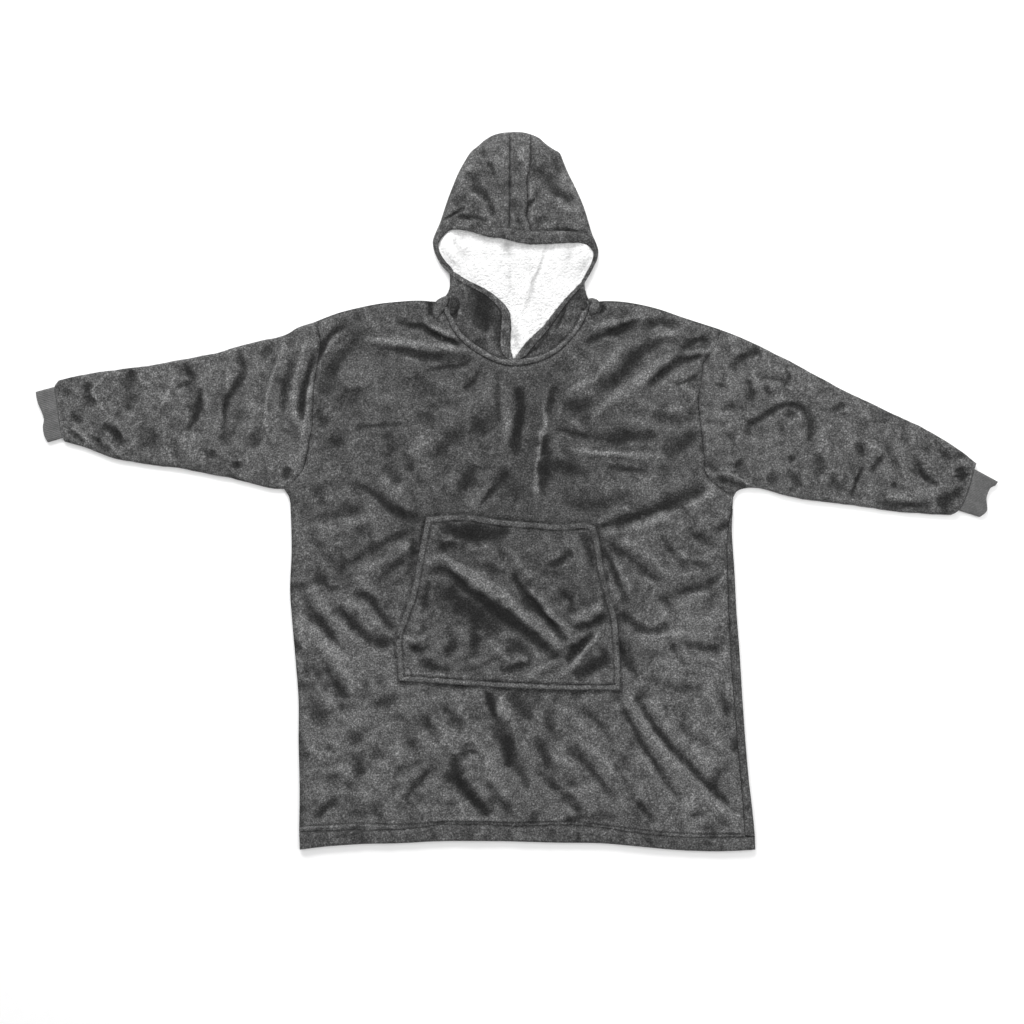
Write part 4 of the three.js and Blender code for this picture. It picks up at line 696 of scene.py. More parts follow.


# ---------------------------------------------------------------- tone of the plush, and painted shade and highlight from the relief
def mottle(x, y, seed, angle=55, size=1.0):
    """Crushed pile: soft blotches of several sizes and long soft folds, in stops."""
    wx = x + 5 * noise(x / 52, y / 52, seed + 1)
    wy = y + 5 * noise(x / 52, y / 52, seed + 2)
    big = noise(wx / (84 * size), wy / (84 * size), seed + 3)
    spot = fbm(wx / (34 * size), wy / (30 * size), seed + 4, 2)
    long1 = noise(*turned(wx, wy, angle, 88 * size, 22 * size), seed + 5)
    long2 = noise(*turned(wx, wy, angle + 74, 66 * size, 18 * size), seed + 6)
    pick = ease(0.5 + 1.2 * noise(x / 110, y / 110, seed + 7))
    fold = long1 * pick + long2 * (1 - pick)
    small = fbm(*turned(wx, wy, angle + 25, 17 * size, 11 * size), seed + 8, 2)
    blot = ease((-spot - 0.02) / 0.42) * ease((-fold + 0.15) / 0.5)
    return 0.35 * big + 0.55 * spot + 0.65 * fold + 0.42 * small - 0.75 * blot + 0.10


# painted shade in hollows and painted highlight on crests: the height against its blurred self
def painted_relief_shade(z, n=3, gain=0.26, most=0.7):
    return np.clip(gain * (z - blur(z, n)), -most, most)


def edged(n, width, steps=(0.0, 0.5, 1.4, 2.8, 4.8)):
    """Stations 0 to 1 over a width in mm, closer at both ends."""
    e = np.array(steps) / width
    return np.concatenate([e, np.linspace(e[-1], 1 - e[-1], n + 1)[1:-1], (1 - e)[::-1]])


def seam_dip(d, deep, reach):
    return -deep * (1 - ease(d / reach))


# seams, finely stepped
hem_seam = spline(HEM_SEAM, 400)
neck_front = spline(NECK, 200)
neck_back = spline(NECK_BACK, 200)
shoulder_right, shoulder_left = spline(SHOULDER_RIGHT, 100), spline(SHOULDER_LEFT, 100)
side_right, side_left = spline(SIDE_RIGHT, 240), spline(SIDE_LEFT, 240)
fold_left = spline(FOLD_LEFT, 240)
arm_right, arm_left = spline(ARM_RIGHT, 160), spline(ARM_LEFT, 160)
hem_stitch = spline(HEM_STITCH, 300)
thin = lambda line, k: line[::k] if (len(line) - 1) % k == 0 else np.vstack([line[::k], line[-1:]])
pocket_bottom, pocket_top = spline(POCKET_BOTTOM, 120), spline(POCKET_TOP, 120)
pocket_right, pocket_left = spline(POCKET_RIGHT, 120), spline(POCKET_LEFT, 120)
pocket_loop = np.vstack([thin(pocket_bottom, 4), thin(pocket_left, 4)[1:], thin(pocket_top, 4)[::-1][1:], thin(pocket_right, 4)[::-1][1:-1]])
pocket_line = np.vstack([pocket_loop, pocket_loop[:1]])


def waves(x, y, seed):
    """Broad, uneven drape of the laid cloth."""
    return (1.6 * fbm(x / 150, y / 150, seed, 2) + 1.2 * noise(*turned(x, y, 62, 120, 42), seed + 5)
            + 0.9 * noise(*turned(x, y, -48, 90, 30), seed + 6) + 0.5 * fbm(x / 22, y / 22, seed + 7, 2))


# ---------------------------------------------------------------- front panel
def front_height(x, y, detail=True):
    z, nap = creases(x, y, BODY_CREASES)
    # the creases' painted highlight and shade made stronger over the upper front on the wearer's left
    nap = nap * (1 + 0.35 * np.exp(-(((x - 120) / 170) ** 2 + ((y - 130) / 130) ** 2)))
    d_pocket = distance(x, y, pocket_line)
    under = inside(x, y, pocket_loop)
    show = np.where(under, 1 - ease(d_pocket / 22), 1.0)
    d_neck = distance(x, y, thin(neck_front, 4))
    z = (z + waves(x, y, 11)) * show + NECK_RISE * (1 - ease(d_neck / NECK_REACH))
    d_side = distance(x, y, thin(side_right, 6))
    z += seam_dip(d_side, 2.2, 13)
    # the front dips where the pocket's edge presses it, and at the hem's stitching
    z += np.where(under, 0, -1.2 * np.exp(-((d_pocket / 5) ** 2)))
    d_hem = distance(x, y, thin(hem_stitch, 4))
    z -= 1.5 * np.exp(-((d_hem / 2.0) ** 2))
    # painted shade in the dip at the hem's stitching and a painted shadow along the outside of the pocket's edge,
    # unevenly strong
    shade_jitter = 0.75 + 0.6 * noise(x / 31, y / 31, 29)
    nap = nap - 0.55 * shade_jitter * np.exp(-((d_hem / 2.2) ** 2)) - np.where(under, 0, 1.0 * shade_jitter * np.exp(-((d_pocket / 5.5) ** 2)))
    rough = 0.50 + 0.40 * ease((-20 - y) / 150) + 0.15 * ease((np.abs(x) - 240) / 120) * ease((120 - y) / 120)
    blend = ease((x + 60) / 120)
    nap = nap + 1.25 * rough * (mottle(x, y, 21, 118) * (1 - blend) + mottle(x, y, 22, 52) * blend)
    # broad lighter and darker areas: lighter towards the hem, on the wearer's left and low on the wearer's right,
    # darker over the middle of the body and below the pocket's middle
    nap += (0.50 * ease((-130 - y) / 160) + 0.22 * ease((x - 150) / 120) - 0.28 * np.exp(-(((x - 10) / 110) ** 2) - ((y - 60) / 130) ** 2)
            + 0.12 * ease((-x - 180) / 100) * ease((60 - y) / 120) - 0.22 * np.exp(-(((x - 5) / 130) ** 2) - ((y + 400) / 70) ** 2))
    return TOP + z, nap


def build_front(material):
    us = edged(252, 790)
    low = np.array([0, 0.6, 1.6, 2.8, 4, 5.2, 6.4, 7.6, 8.8, 10, 11.2, 12.6, 14.4, 16.6]) / 950
    high = 1 - np.array([0, 0.6, 1.6, 3, 5]) / 950
    vs = np.concatenate([low, np.linspace(low[-1], high[-1], 296)[1:-1], high[::-1]])
    top_edge = join(shoulder_right, neck_front, shoulder_left)
    right_edge, left_edge = join(side_right, arm_right), join(side_left, arm_left)
    xy = coons(hem_seam, top_edge, right_edge, left_edge, us, vs)
    x, y = xy[..., 0], xy[..., 1]
    z, nap = front_height(x, y)
    nap += painted_relief_shade(z)
    rim = np.vstack([thin(right_edge, 8), thin(top_edge, 8)[1:], thin(left_edge, 8)[::-1][1:], thin(hem_seam, 10)[::-1][1:]])
    d = distance(x, y, rim)
    z += seam_dip(d, 2.6, 8)
    # painted shade where the panel rounds down into its seams and edges, and a faint painted highlight 8 mm in
    shade_jitter = np.clip(0.75 + 0.7 * noise(x / 26, y / 26, 28), 0.2, 1.4)
    nap += -0.85 * shade_jitter * np.exp(-((d / 1.7) ** 2)) + 0.16 * np.exp(-(((d - 8) / 4) ** 2))
    under = np.maximum(LAYER, z - WALL - 0.2)
    z = np.maximum(z, under + 1.0)
    net = Net()
    slab(net, np.dstack([x, y, z]), np.dstack([x, y, under]), nap, k=4, nap_low=-0.4)
    return make("hoodie_front", net, material, nodes=["body_front"])


# ---------------------------------------------------------------- back panel, rolled over on the wearer's left
def build_back(material):
    us = edged(128, 800, (0, 1.2, 3.4))
    vs = edged(150, 950, (0, 1.2, 3.4))
    bottom = join(hem_seam, resample(np.array([hem_seam[-1], fold_left[0]]), 10))
    bottom = resample(bottom, 400)
    top_edge = join(shoulder_right, neck_back, shoulder_left)
    right_edge, left_edge = join(side_right, arm_right), join(fold_left, arm_left)
    xy = coons(bottom, top_edge, right_edge, left_edge, us, vs)
    x, y = xy[..., 0], xy[..., 1]
    rim = np.vstack([thin(right_edge, 8), thin(top_edge, 8)[1:], thin(left_edge, 8)[::-1][1:], thin(bottom, 10)[::-1][1:]])
    d = distance(x, y, rim)
    c, nap = creases(x, y, BACK_CREASES)
    low = np.clip(-1.0 * c, 0, 2.2) + np.clip(0.9 * fbm(x / 60, y / 60, 31, 3) - 0.15, 0, 1.2)
    low = low + 1.7 * (1 - rounded(d / 6))
    # the pile's random tone, with painted shade along the panel's rim
    nap = nap + 0.75 * mottle(x, y, 33, 64) - 0.4 * np.exp(-((d / 2) ** 2))
    high = np.full(x.shape, WALL)
    n_low = len(us)
    # the roll: past the fold the cloth turns up and lies on the front as far as the side seam
    f = np.clip(vs / 0.6, 0, 1)
    seam_x, fold_x = at(side_left, f)[:, 0], at(fold_left, f)[:, 0]
    wide = np.maximum(fold_x - seam_x, 0.4)
    scale = np.clip(wide / 13, 0.05, 1)
    outer_section = [(3.2, 0.25), (1.3, 1.1), (0.2, 3.0), (0.0, 5.0), (0.7, 7.0), (2.4, 8.5), (5.0, 9.3)]
    inner_section = [(5.0, 4.05), (4.7, 4.1), (4.4, 4.2), (4.3, 4.35), (4.5, 4.5), (4.9, 4.6), (5.6, 4.7)]
    strip = [0.12, 0.3, 0.5, 0.7, 0.85, 0.94, 1.0]
    ox, oz, ix, iz = [], [], [], []
    for (a, za), (b, zb) in zip(outer_section, inner_section):
        ox.append(fold_x - a * scale)
        oz.append(np.full(len(vs), za))
        ix.append(fold_x - b * scale)
        iz.append(np.full(len(vs), zb))
    start = fold_x - 5.0 * scale
    for s in strip:
        px = start + (seam_x + 0.5 - start) * s
        px = np.maximum(px, seam_x + 0.5)
        ripple = 0.7 * noise(px / 22, y[:, -1] / 30, 41) + 0.5 * noise(px / 9, y[:, -1] / 60, 42)
        ox.append(px)
        oz.append(9.3 + ripple - 3.0 * ease((s - 0.55) / 0.45) * np.clip(wide / 13, 0, 1))
        ix.append(np.maximum(px, seam_x + 0.5))
        iz.append(np.full(len(vs), 4.7))
    yy = at(fold_left, f)[:, 1]
    # columns keep their row's height along the garment
    yc = np.where(vs <= 0.6, y[:, -1], y[:, -1])
    ox, oz, ix, iz = (np.stack(a, axis=1) for a in (ox, oz, ix, iz))
    yroll = np.repeat(yc[:, None], ox.shape[1], axis=1)
    x_slab = x.copy()
    inset = (ROLL * scale)[:, None] * ease((us[None, :] - 0.98) / 0.02) * (vs[:, None] <= 0.6)
    x_slab = x_slab - inset
    low = np.where((vs[:, None] <= 0.6) & (us[None, :] > 0.9), low * (1 - ease((us[None, :] - 0.95) / 0.05)), low)
    outer = np.dstack([np.hstack([x_slab, ox]), np.hstack([y, yroll]), np.hstack([low, oz])])
    inner = np.dstack([np.hstack([x_slab, ix]), np.hstack([y, yroll]), np.hstack([high, iz])])
    roll_nap = 0.6 * mottle(ox, yroll, 35, 80, 0.7) + 0.1
    # painted shade where the roll tucks in against the side seam
    roll_nap[:, -1] -= 0.8
    roll_nap[:, -2] -= 0.3
    nap = np.hstack([nap, roll_nap])
    rows, cols = outer.shape[:2]
    keep = np.ones((rows - 1, cols - 1), bool)
    keep[vs[1:] > 0.58, n_low - 1:] = False
    net = Net()
    cells(net, outer, inner, keep, nap, -0.5)
    return make("hoodie_back", net, material, nodes=["body_back"])


def cells(net, outer, inner, keep, nap, nap_in, nap_wall=None):
    """A closed cloth over the kept cells of a grid, from an outer and an inner layer of points."""
    rows, cols = outer.shape[:2]
    a = net.points(outer, nap)
    b = net.points(inner, np.full(rows * cols, nap_in) if np.isscalar(nap_in) else nap_in)
    q = grid_faces(a, rows, cols, keep)
    net.quads(q)
    net.quads(grid_faces(b, rows, cols, keep, flip=True))
    wall(net, q, a, b)


def wall(net, q, a, b, skip=None):
    """Joins the outer and inner layers along the free edges of faces q."""
    e = np.concatenate([q[:, [0, 1]], q[:, [1, 2]], q[:, [2, 3]], q[:, [3, 0]]]) - a
    big = int(e.max()) + 1
    key, back = e[:, 0] * big + e[:, 1], e[:, 1] * big + e[:, 0]
    free = e[~np.isin(key, back)]
    if skip is not None:
        free = free[~skip(free)]
    net.quads(np.stack([free[:, 1] + a, free[:, 0] + a, free[:, 0] + b, free[:, 1] + b], axis=1))
    return free


# ---------------------------------------------------------------- hem band
def build_hem(material):
    seam_line = join(hem_seam, resample(np.array([hem_seam[-1], fold_left[0]]), 10))
    seam_line = resample(seam_line, 400) - [0, SEAM]
    edge = spline(HEM_EDGE, 400)
    left = resample(np.array([seam_line[0], edge[0]]), 20)
    right = resample(np.array([seam_line[-1], edge[-1]]), 20)
    us = edged(270, 815, (0, 0.4, 1.2, 2.4, 4.2, 6.4))
    vs = np.array([0, 0.02, 0.05, 0.09, 0.14, 0.2, 0.27, 0.35, 0.43, 0.51, 0.59, 0.67, 0.74, 0.8, 0.855, 0.9, 0.935, 0.965, 0.985, 1.0])
    xy = coons(seam_line, edge, left, right, us, vs)
    x, y = xy[..., 0], xy[..., 1]
    v = np.repeat(vs[:, None], len(us), axis=1)
    w = np.linalg.norm(xy[:, -1] - xy[:, 0], axis=1)[:, None]
    d_end = np.minimum(us[None], 1 - us[None]) * w
    deep = length(left) * (1 - us)[None] + length(right) * us[None]
    c, cn = creases(x, y, HEM_CREASES)
    full = TOP + 1.2 + 0.9 * noise(x / 46, y / 30, 51) + 0.45 * noise(x / 17, y / 22, 52) + c
    full += seam_dip(v * deep, 2.8, 7)
    full -= 3.6 * (1 - rounded((1 - v) * deep / 7.0))
    r = rounded(d_end / 9)
    top = MID + r * (full - MID)
    low = MID - rounded(d_end / 5) * MID
    low = low + 1.4 * (1 - rounded((1 - v) * deep / 4)) * rounded(d_end / 5) + 0.9 * (1 - rounded(v * deep / 3)) * rounded(d_end / 5)
    # painted shade along the seam at the band's top and a faint painted highlight near its rounded lower edge
    nap = 0.10 + cn + 0.7 * mottle(x, y, 53, 96, 0.8) - 0.9 * (0.8 + 0.6 * noise(x / 24, y / 24, 54)) * np.exp(-((v * deep / 1.8) ** 2)) + 0.12 * np.exp(-((((1 - v) * deep - 2.4) / 2.4) ** 2))
    nap += painted_relief_shade(top, 2, 0.2)
    pick = stations(len(us) - 1, 4)[1:-1][::-1]
    outer = np.dstack([np.hstack([x, x[:, pick]]), np.hstack([y, y[:, pick]]), np.hstack([top, low[:, pick]])])
    ui = 4.2 / w + us[None] * (1 - 8.4 / w)
    inner_xy = np.stack([coons(seam_line, edge, left, right, ui[j], vs[j:j + 1])[0] for j in range(len(vs))])
    in_top = np.maximum(MID + 0.25, top - WALL)
    in_top = np.where(d_end < 8, MID + 0.25, in_top)
    in_low = np.full(top.shape, WALL)
    inner = np.dstack([np.hstack([inner_xy[..., 0], inner_xy[:, pick, 0]]), np.hstack([inner_xy[..., 1], inner_xy[:, pick, 1]]), np.hstack([in_top, in_low[:, pick]])])
    full_nap = np.hstack([nap, 0.8 * nap[:, pick]])
    cols = outer.shape[1]
    is_ = np.unique(np.concatenate([np.arange(0, len(us), 4), [len(us) - 1], np.arange(len(us), cols, 1)]))
    js = np.array([0, 4, 8, 12, 16, 19])
    net = Net()
    tube(net, outer, inner, full_nap, js, is_)
    return make("hoodie_hem", net, material, nodes=["hem_band"])


# ---------------------------------------------------------------- sleeves and cuffs
def build_sleeve(side, material):
    if side == "right":
        arm, out, top_rows, under_rows, end_rows, seed, lean = arm_right, -1, SLEEVE_R_TOP, SLEEVE_R_UNDER, SLEEVE_R_END, 61, 80
    else:
        arm, out, top_rows, under_rows, end_rows, seed, lean = arm_left, 1, SLEEVE_L_TOP, SLEEVE_L_UNDER, SLEEVE_L_END, 66, 100
    start = (arm + [out * SEAM, 0])[::-1]
    end = spline(end_rows, 160)[::-1]
    top_line, under_line = spline(top_rows, 300), spline(under_rows, 300)
    top_line[0], under_line[0] = start[0], start[-1]
    # the outline is slightly scalloped by the folds
    for line, k in ((top_line, 1), (under_line, -1)):
        t = np.linspace(0, 1, len(line))
        line[:, 1] += k * (1.1 * noise(line[:, 0] / 34, np.full(len(line), 3.3 * k), seed) + 0.5 * noise(line[:, 0] / 13, np.full(len(line), 5.1 * k), seed + 1)) * np.sin(math.pi * t) ** 0.4
    us = edged(104, 200, (0, 0.35, 1.0, 2.0, 3.4, 5.2))
    vs = np.concatenate([np.array([0, 0.0012, 0.003, 0.006, 0.01]), np.linspace(0.014, 0.985, 196), np.array([0.989, 0.992, 0.9945, 0.9965, 0.998, 0.9992, 1.0])])
    xy = coons(start, end, top_line, under_line, us, vs)
    x, y = xy[..., 0], xy[..., 1]
    w = np.linalg.norm(xy[:, -1] - xy[:, 0], axis=1)[:, None]
    d_edge = np.minimum(us[None], 1 - us[None]) * w
    d_arm = distance(x, y, thin(start, 4))
    d_end = distance(x, y, thin(end, 4))
    c, cn = creases(x, y, BODY_CREASES)
    full = TOP + c + 1.6 * ease(d_edge / 60) + 1.0 * fbm(x / 90, y / 90, seed + 2, 2) + 0.8 * noise(*turned(x, y, lean, 90, 30), seed + 3) + 0.3 * fbm(x / 20, y / 20, seed + 4, 2)
    full += seam_dip(d_arm, 2.7, 8) + seam_dip(d_end, 2.2, 5) + 0.9 * np.exp(-(((d_end - 2.6) / 2.0) ** 2))
    full = np.maximum(full, MID + 1.4)
    top = MID + rounded(d_edge / 10) * (full - MID)
    low = MID - rounded(d_edge / 5.5) * MID
    under_crease = np.clip(0.8 * fbm(x / 40, y / 40, seed + 5, 3) - 0.1, 0, 1.4) * ease(d_edge / 12)
    low = low + under_crease + 1.5 * (1 - rounded(np.minimum(d_arm, d_end) / 5)) * ease(d_edge / 6)
    nap = cn + 0.36 + 0.85 * mottle(x, y, seed + 6, lean, 0.8) + painted_relief_shade(full)
    # painted shade in the armhole seam with a faint painted highlight 8 mm in; a painted highlight on the sleeve's
    # rolled end with painted shade just inside it
    shade_jitter = np.clip(0.75 + 0.8 * noise(x / 26, y / 26, seed + 9), 0.15, 1.5)
    nap += -0.9 * shade_jitter * np.exp(-((d_arm / 1.8) ** 2)) + 0.12 * np.exp(-(((d_arm - 8) / 4) ** 2))
    nap += 0.95 * np.exp(-(((d_end - 1.6) / 1.8) ** 2)) - 0.25 * np.exp(-(((d_end - 8) / 4) ** 2))
    pick = stations(len(us) - 1, 4)[1:-1][::-1]
    # the underside: the pile's random tone, with painted shade by the seams
    under_nap = 0.1 + 0.7 * mottle(x, y, seed + 8, lean, 0.85) - 0.8 * np.exp(-((np.minimum(d_arm, d_end) / 3) ** 2))
    outer = np.dstack([np.hstack([x, x[:, pick]]), np.hstack([y, y[:, pick]]), np.hstack([top, low[:, pick]])])
    ui = np.clip(4.2 / w + us[None] * (1 - 8.4 / w), 0, 1)
    inner_xy = np.stack([coons(start, end, top_line, under_line, ui[j], vs[j:j + 1])[0] for j in range(len(vs))])
    in_top = np.where(d_edge < 9, MID + 0.25, np.maximum(MID + 0.25, full - WALL - 0.4))
    inner = np.dstack([np.hstack([inner_xy[..., 0], inner_xy[:, pick, 0]]), np.hstack([inner_xy[..., 1], inner_xy[:, pick, 1]]), np.hstack([in_top, np.full(low[:, pick].shape, WALL)])])
    cols = outer.shape[1]
    is_ = np.unique(np.concatenate([np.arange(0, len(us), 4), [len(us) - 1], np.arange(len(us), cols, 1)]))
    js = stations(len(vs) - 1, 5)
    net = Net()
    tube(net, outer, inner, np.hstack([nap, under_nap[:, pick]]), js, is_)
    return make("hoodie_sleeve_" + side, net, material, nodes=["sleeve_" + side])


def build_cuff(side, material):
    if side == "right":
        end_rows, cuff_rows, a, b, out = SLEEVE_R_END, CUFF_R_END, 0.06, 0.88, -1
    else:
        end_rows, cuff_rows, a, b, out = SLEEVE_L_END, CUFF_L_END, 0.15, 0.9, 1
    end = spline(end_rows, 160)
    start = (at(end, np.linspace(a, b, 121)) + [out * 0.6, 0])[::-1]
    far = spline(cuff_rows, 120)[::-1]
    left, right = resample(np.array([start[0], far[0]]), 20), resample(np.array([start[-1], far[-1]]), 20)
    us = edged(230, 92, (0, 0.2, 0.5, 1.0, 1.7, 2.6))
    vs = np.array([0, 0.03, 0.08, 0.15, 0.24, 0.34, 0.44, 0.54, 0.64, 0.73, 0.81, 0.87, 0.92, 0.955, 0.98, 1.0])
    xy = coons(start, far, left, right, us, vs)
    x, y = xy[..., 0], xy[..., 1]
    w = np.linalg.norm(xy[:, -1] - xy[:, 0], axis=1)[:, None]
    deep = 0.5 * (length(left) + length(right))
    d_edge = np.minimum(us[None], 1 - us[None]) * w
    v = vs[:, None]
    rib = np.cos(us[None] * 92 / 3.1 * 2 * math.pi + 0.5 * noise(us[None] * 9, v * 2, 81))
    full = 6.6 + 0.32 * rib + 0.5 * noise(x / 26, y / 26, 82) - 2.2 * (1 - rounded((1 - v) * deep / 4)) - 1.2 * (1 - rounded(v * deep / 5))
    mid = 3.3
    top = mid + rounded(d_edge / 5) * (full - mid)
    low_full = 0.0 + 0.16 * (1 + rib) + 1.4 * (1 - rounded((1 - v) * deep / 3))
    low = mid - rounded(d_edge / 4) * (mid - low_full)
    # painted highlight on the rib ridges and painted shade in their grooves, a painted highlight at both ends, and
    # painted shade along the folded side edges
    nap = 0.16 * rib + 0.22 * noise(x / 18, y / 18, 83) + 0.25 * np.exp(-((v * deep / 2) ** 2)) + 0.12 * np.exp(-((((1 - v) * deep - 1.5) / 2) ** 2))
    nap = nap - 0.5 * np.exp(-((d_edge / 0.9) ** 2))
    pick = np.arange(1, len(us) - 1, 1)[::-1]
    outer = np.dstack([np.hstack([x, x[:, pick]]), np.hstack([y, y[:, pick]]), np.hstack([top, low[:, pick]])])
    ui = 2.9 / w + us[None] * (1 - 5.8 / w)
    inner_xy = np.stack([coons(start, far, left, right, ui[j], vs[j:j + 1])[0] for j in range(len(vs))])
    in_top = np.where(d_edge < 5, mid + 0.2, np.maximum(mid + 0.2, full - 2.8))
    in_low = np.where(d_edge < 5, mid - 0.2, mid - 0.2)
    inner = np.dstack([np.hstack([inner_xy[..., 0], inner_xy[:, pick, 0]]), np.hstack([inner_xy[..., 1], inner_xy[:, pick, 1]]), np.hstack([in_top, in_low[:, pick]])])
    cols = outer.shape[1]
    is_ = np.unique(np.concatenate([np.arange(0, cols, 6), [len(us) - 1]]))
    net = Net()
    tube(net, outer, inner, np.hstack([nap, nap[:, pick]]), np.array([0, 4, 8, 12, 15]), is_)
    return make("hoodie_cuff_" + side, net, material, nodes=["cuff_" + side])


# ---------------------------------------------------------------- pocket
def pocket_height(x, y):
    z, nap = creases(x, y, POCKET_CREASES)
    # the creases' painted highlight and shade made stronger on the pocket
    nap = 1.35 * nap
    d, t = nearest(x, y, pocket_line)
    d_low = distance(x, y, thin(pocket_bottom, 4))
    band = np.where(d_low < 13, 10.2, 11.6)
    fade = ease((d - 8) / 12)
    z = z * fade + 1.1 * fbm(x / 70, y / 70, 91, 2) * fade + 0.25 * fbm(x / 17, y / 17, 92, 2)
    band = band + 0.9 * noise(x / 15, y / 15, 94)
    deep = np.clip(0.62 + 0.5 * noise(x / 24, y / 24, 95), 0.1, 1.2) + 0.45 * (d_low < 17)
    z += 0.8 * ease(d / 3) * (1 - ease((d - band + 2.6) / 2.2)) + 0.5 * noise(x / 9, y / 9, 96) * np.exp(-(((d - band) / 5) ** 2))
    z -= 1.5 * deep * np.exp(-(((d - band) / 1.7) ** 2))
    z += 1.4 * ease(d / 60)
    nap = nap * (0.25 + 0.75 * fade) + 0.85 * mottle(x, y, 93, 128, 0.9) * (0.6 + 0.4 * fade) - 0.15 * ease((y + 120) / 60) + 0.3 * ease((-y - 200) / 100)
    # painted highlight on the raised edge band, painted shade in its stitched groove, and a painted highlight just
    # inside the groove along the bottom
    nap += 0.34 * ease(d / 2.5) * (1 - ease((d - band + 3.2) / 2.4)) - 0.95 * deep * np.exp(-(((d - band) / 1.5) ** 2)) + 0.35 * np.exp(-(((d - band - 4) / 2.4) ** 2)) * (d_low < 22)
    nap += 0.3 * ease((d_low < 34) * (d - 16) / 8) * ease((34 - d_low) / 14)
    return 12.2 + z, nap, d


def build_pocket(material):
    us = edged(150, 370, (0, 0.5, 1.3, 2.4, 3.8, 5.4, 7, 8.4, 9.6, 10.7, 11.8, 12.9, 14.2, 15.8))
    vs = edged(112, 300, (0, 0.5, 1.3, 2.4, 3.8, 5.4, 7, 8.6, 10, 11.2, 12.3, 13.4, 14.6, 16.2))
    xy = coons(pocket_bottom, pocket_top, pocket_right, pocket_left, us, vs)
    x, y = xy[..., 0], xy[..., 1]
    z, nap, d = pocket_height(x, y)
    z -= 2.6 * (1 - rounded(d / 3.2))
    # painted shade in the relief's hollows and along the pocket's outer edge, painted highlight on its crests
    nap += painted_relief_shade(z, 3, 0.22) - 0.25 * np.exp(-((d / 0.9) ** 2))
    under = np.maximum(9.2, z - 3.0)
    z = np.maximum(z, under + 0.8)
    net = Net()
    slab(net, np.dstack([x, y, z]), np.dstack([x, y, under]), nap, k=3, nap_low=-0.6)
    return make("hoodie_pocket", net, material, nodes=["pocket"])


# ---------------------------------------------------------------- hood
_whole = join(spline(HOOD_SIL_RIGHT, 300), spline(HOOD_SIL_TOP, 60), spline(HOOD_SIL_LEFT, 300))
_turn = [int(np.hypot(_whole[:, 0] - cx, _whole[:, 1] - cy).argmin()) for cx, cy in ((-86, 605), (81, 600))]
outline_right = resample(_whole[:_turn[0] + 1], 240)
crown = resample(_whole[_turn[0]:_turn[1] + 1], 200)
outline_left = resample(_whole[_turn[1]:], 240)[::-1]
hood_outline = np.vstack([thin(outline_right, 4), thin(crown, 5)[1:], thin(outline_left, 4)[::-1][1:]])


def hood_grid(us, vs):
    """Points over the hood; its rows are level except near the neck and the crown."""
    u, v = us[None, :, None], vs[:, None, None]
    b, t = at(neck_front, us)[None], at(crown, us)[None]
    l, r = at(outline_right, vs)[:, None], at(outline_left, vs)[:, None]
    sag = b - ((1 - u) * b[:, :1] + u * b[:, -1:])
    arch = t - ((1 - u) * t[:, :1] + u * t[:, -1:])
    return (1 - u) * l + u * r + np.clip(1 - v / 0.34, 0, 1) ** 1.6 * sag + v ** 3 * arch
opening = spline(OPENING, 560, closed=True)[:-1]
_step = np.roll(opening, -1, axis=0)[:, :2] - np.roll(opening, 1, axis=0)[:, :2]
_step /= np.linalg.norm(_step, axis=1)[:, None]
for _ in range(4):
    _step = (np.roll(_step, 1, axis=0) + _step + np.roll(_step, -1, axis=0)) / 3
_step /= np.linalg.norm(_step, axis=1)[:, None]
opening_out = np.stack([-_step[:, 1], _step[:, 0]], axis=1)


def opening_at(share, extra=0.0):
    return opening[:, :2] + opening_out * (opening[:, 2:3] * share + extra)


def seam_x(rows, y):
    rows = np.array(rows, float)
    return np.interp(y, rows[:, 0], rows[:, 1])


def hood_level(y):
    rows = np.array(HOOD_HEIGHT, float)
    i = np.clip(np.searchsorted(rows[:, 0], y) - 1, 0, len(rows) - 2)
    f = ease((y - rows[i, 0]) / (rows[i + 1, 0] - rows[i, 0]))
    return rows[i, 1] + (rows[i + 1, 1] - rows[i, 1]) * f


# the rim stands well above the surface, so its place in the photograph is drawn in towards the camera's axis
opening[:, :2] += (EYE - opening[:, :2]) * ((hood_level(opening[:, 1]) + 1) / 3200)[:, None]
rim_line = np.vstack([opening_at(1.0)[::3], opening_at(1.0)[:1]])


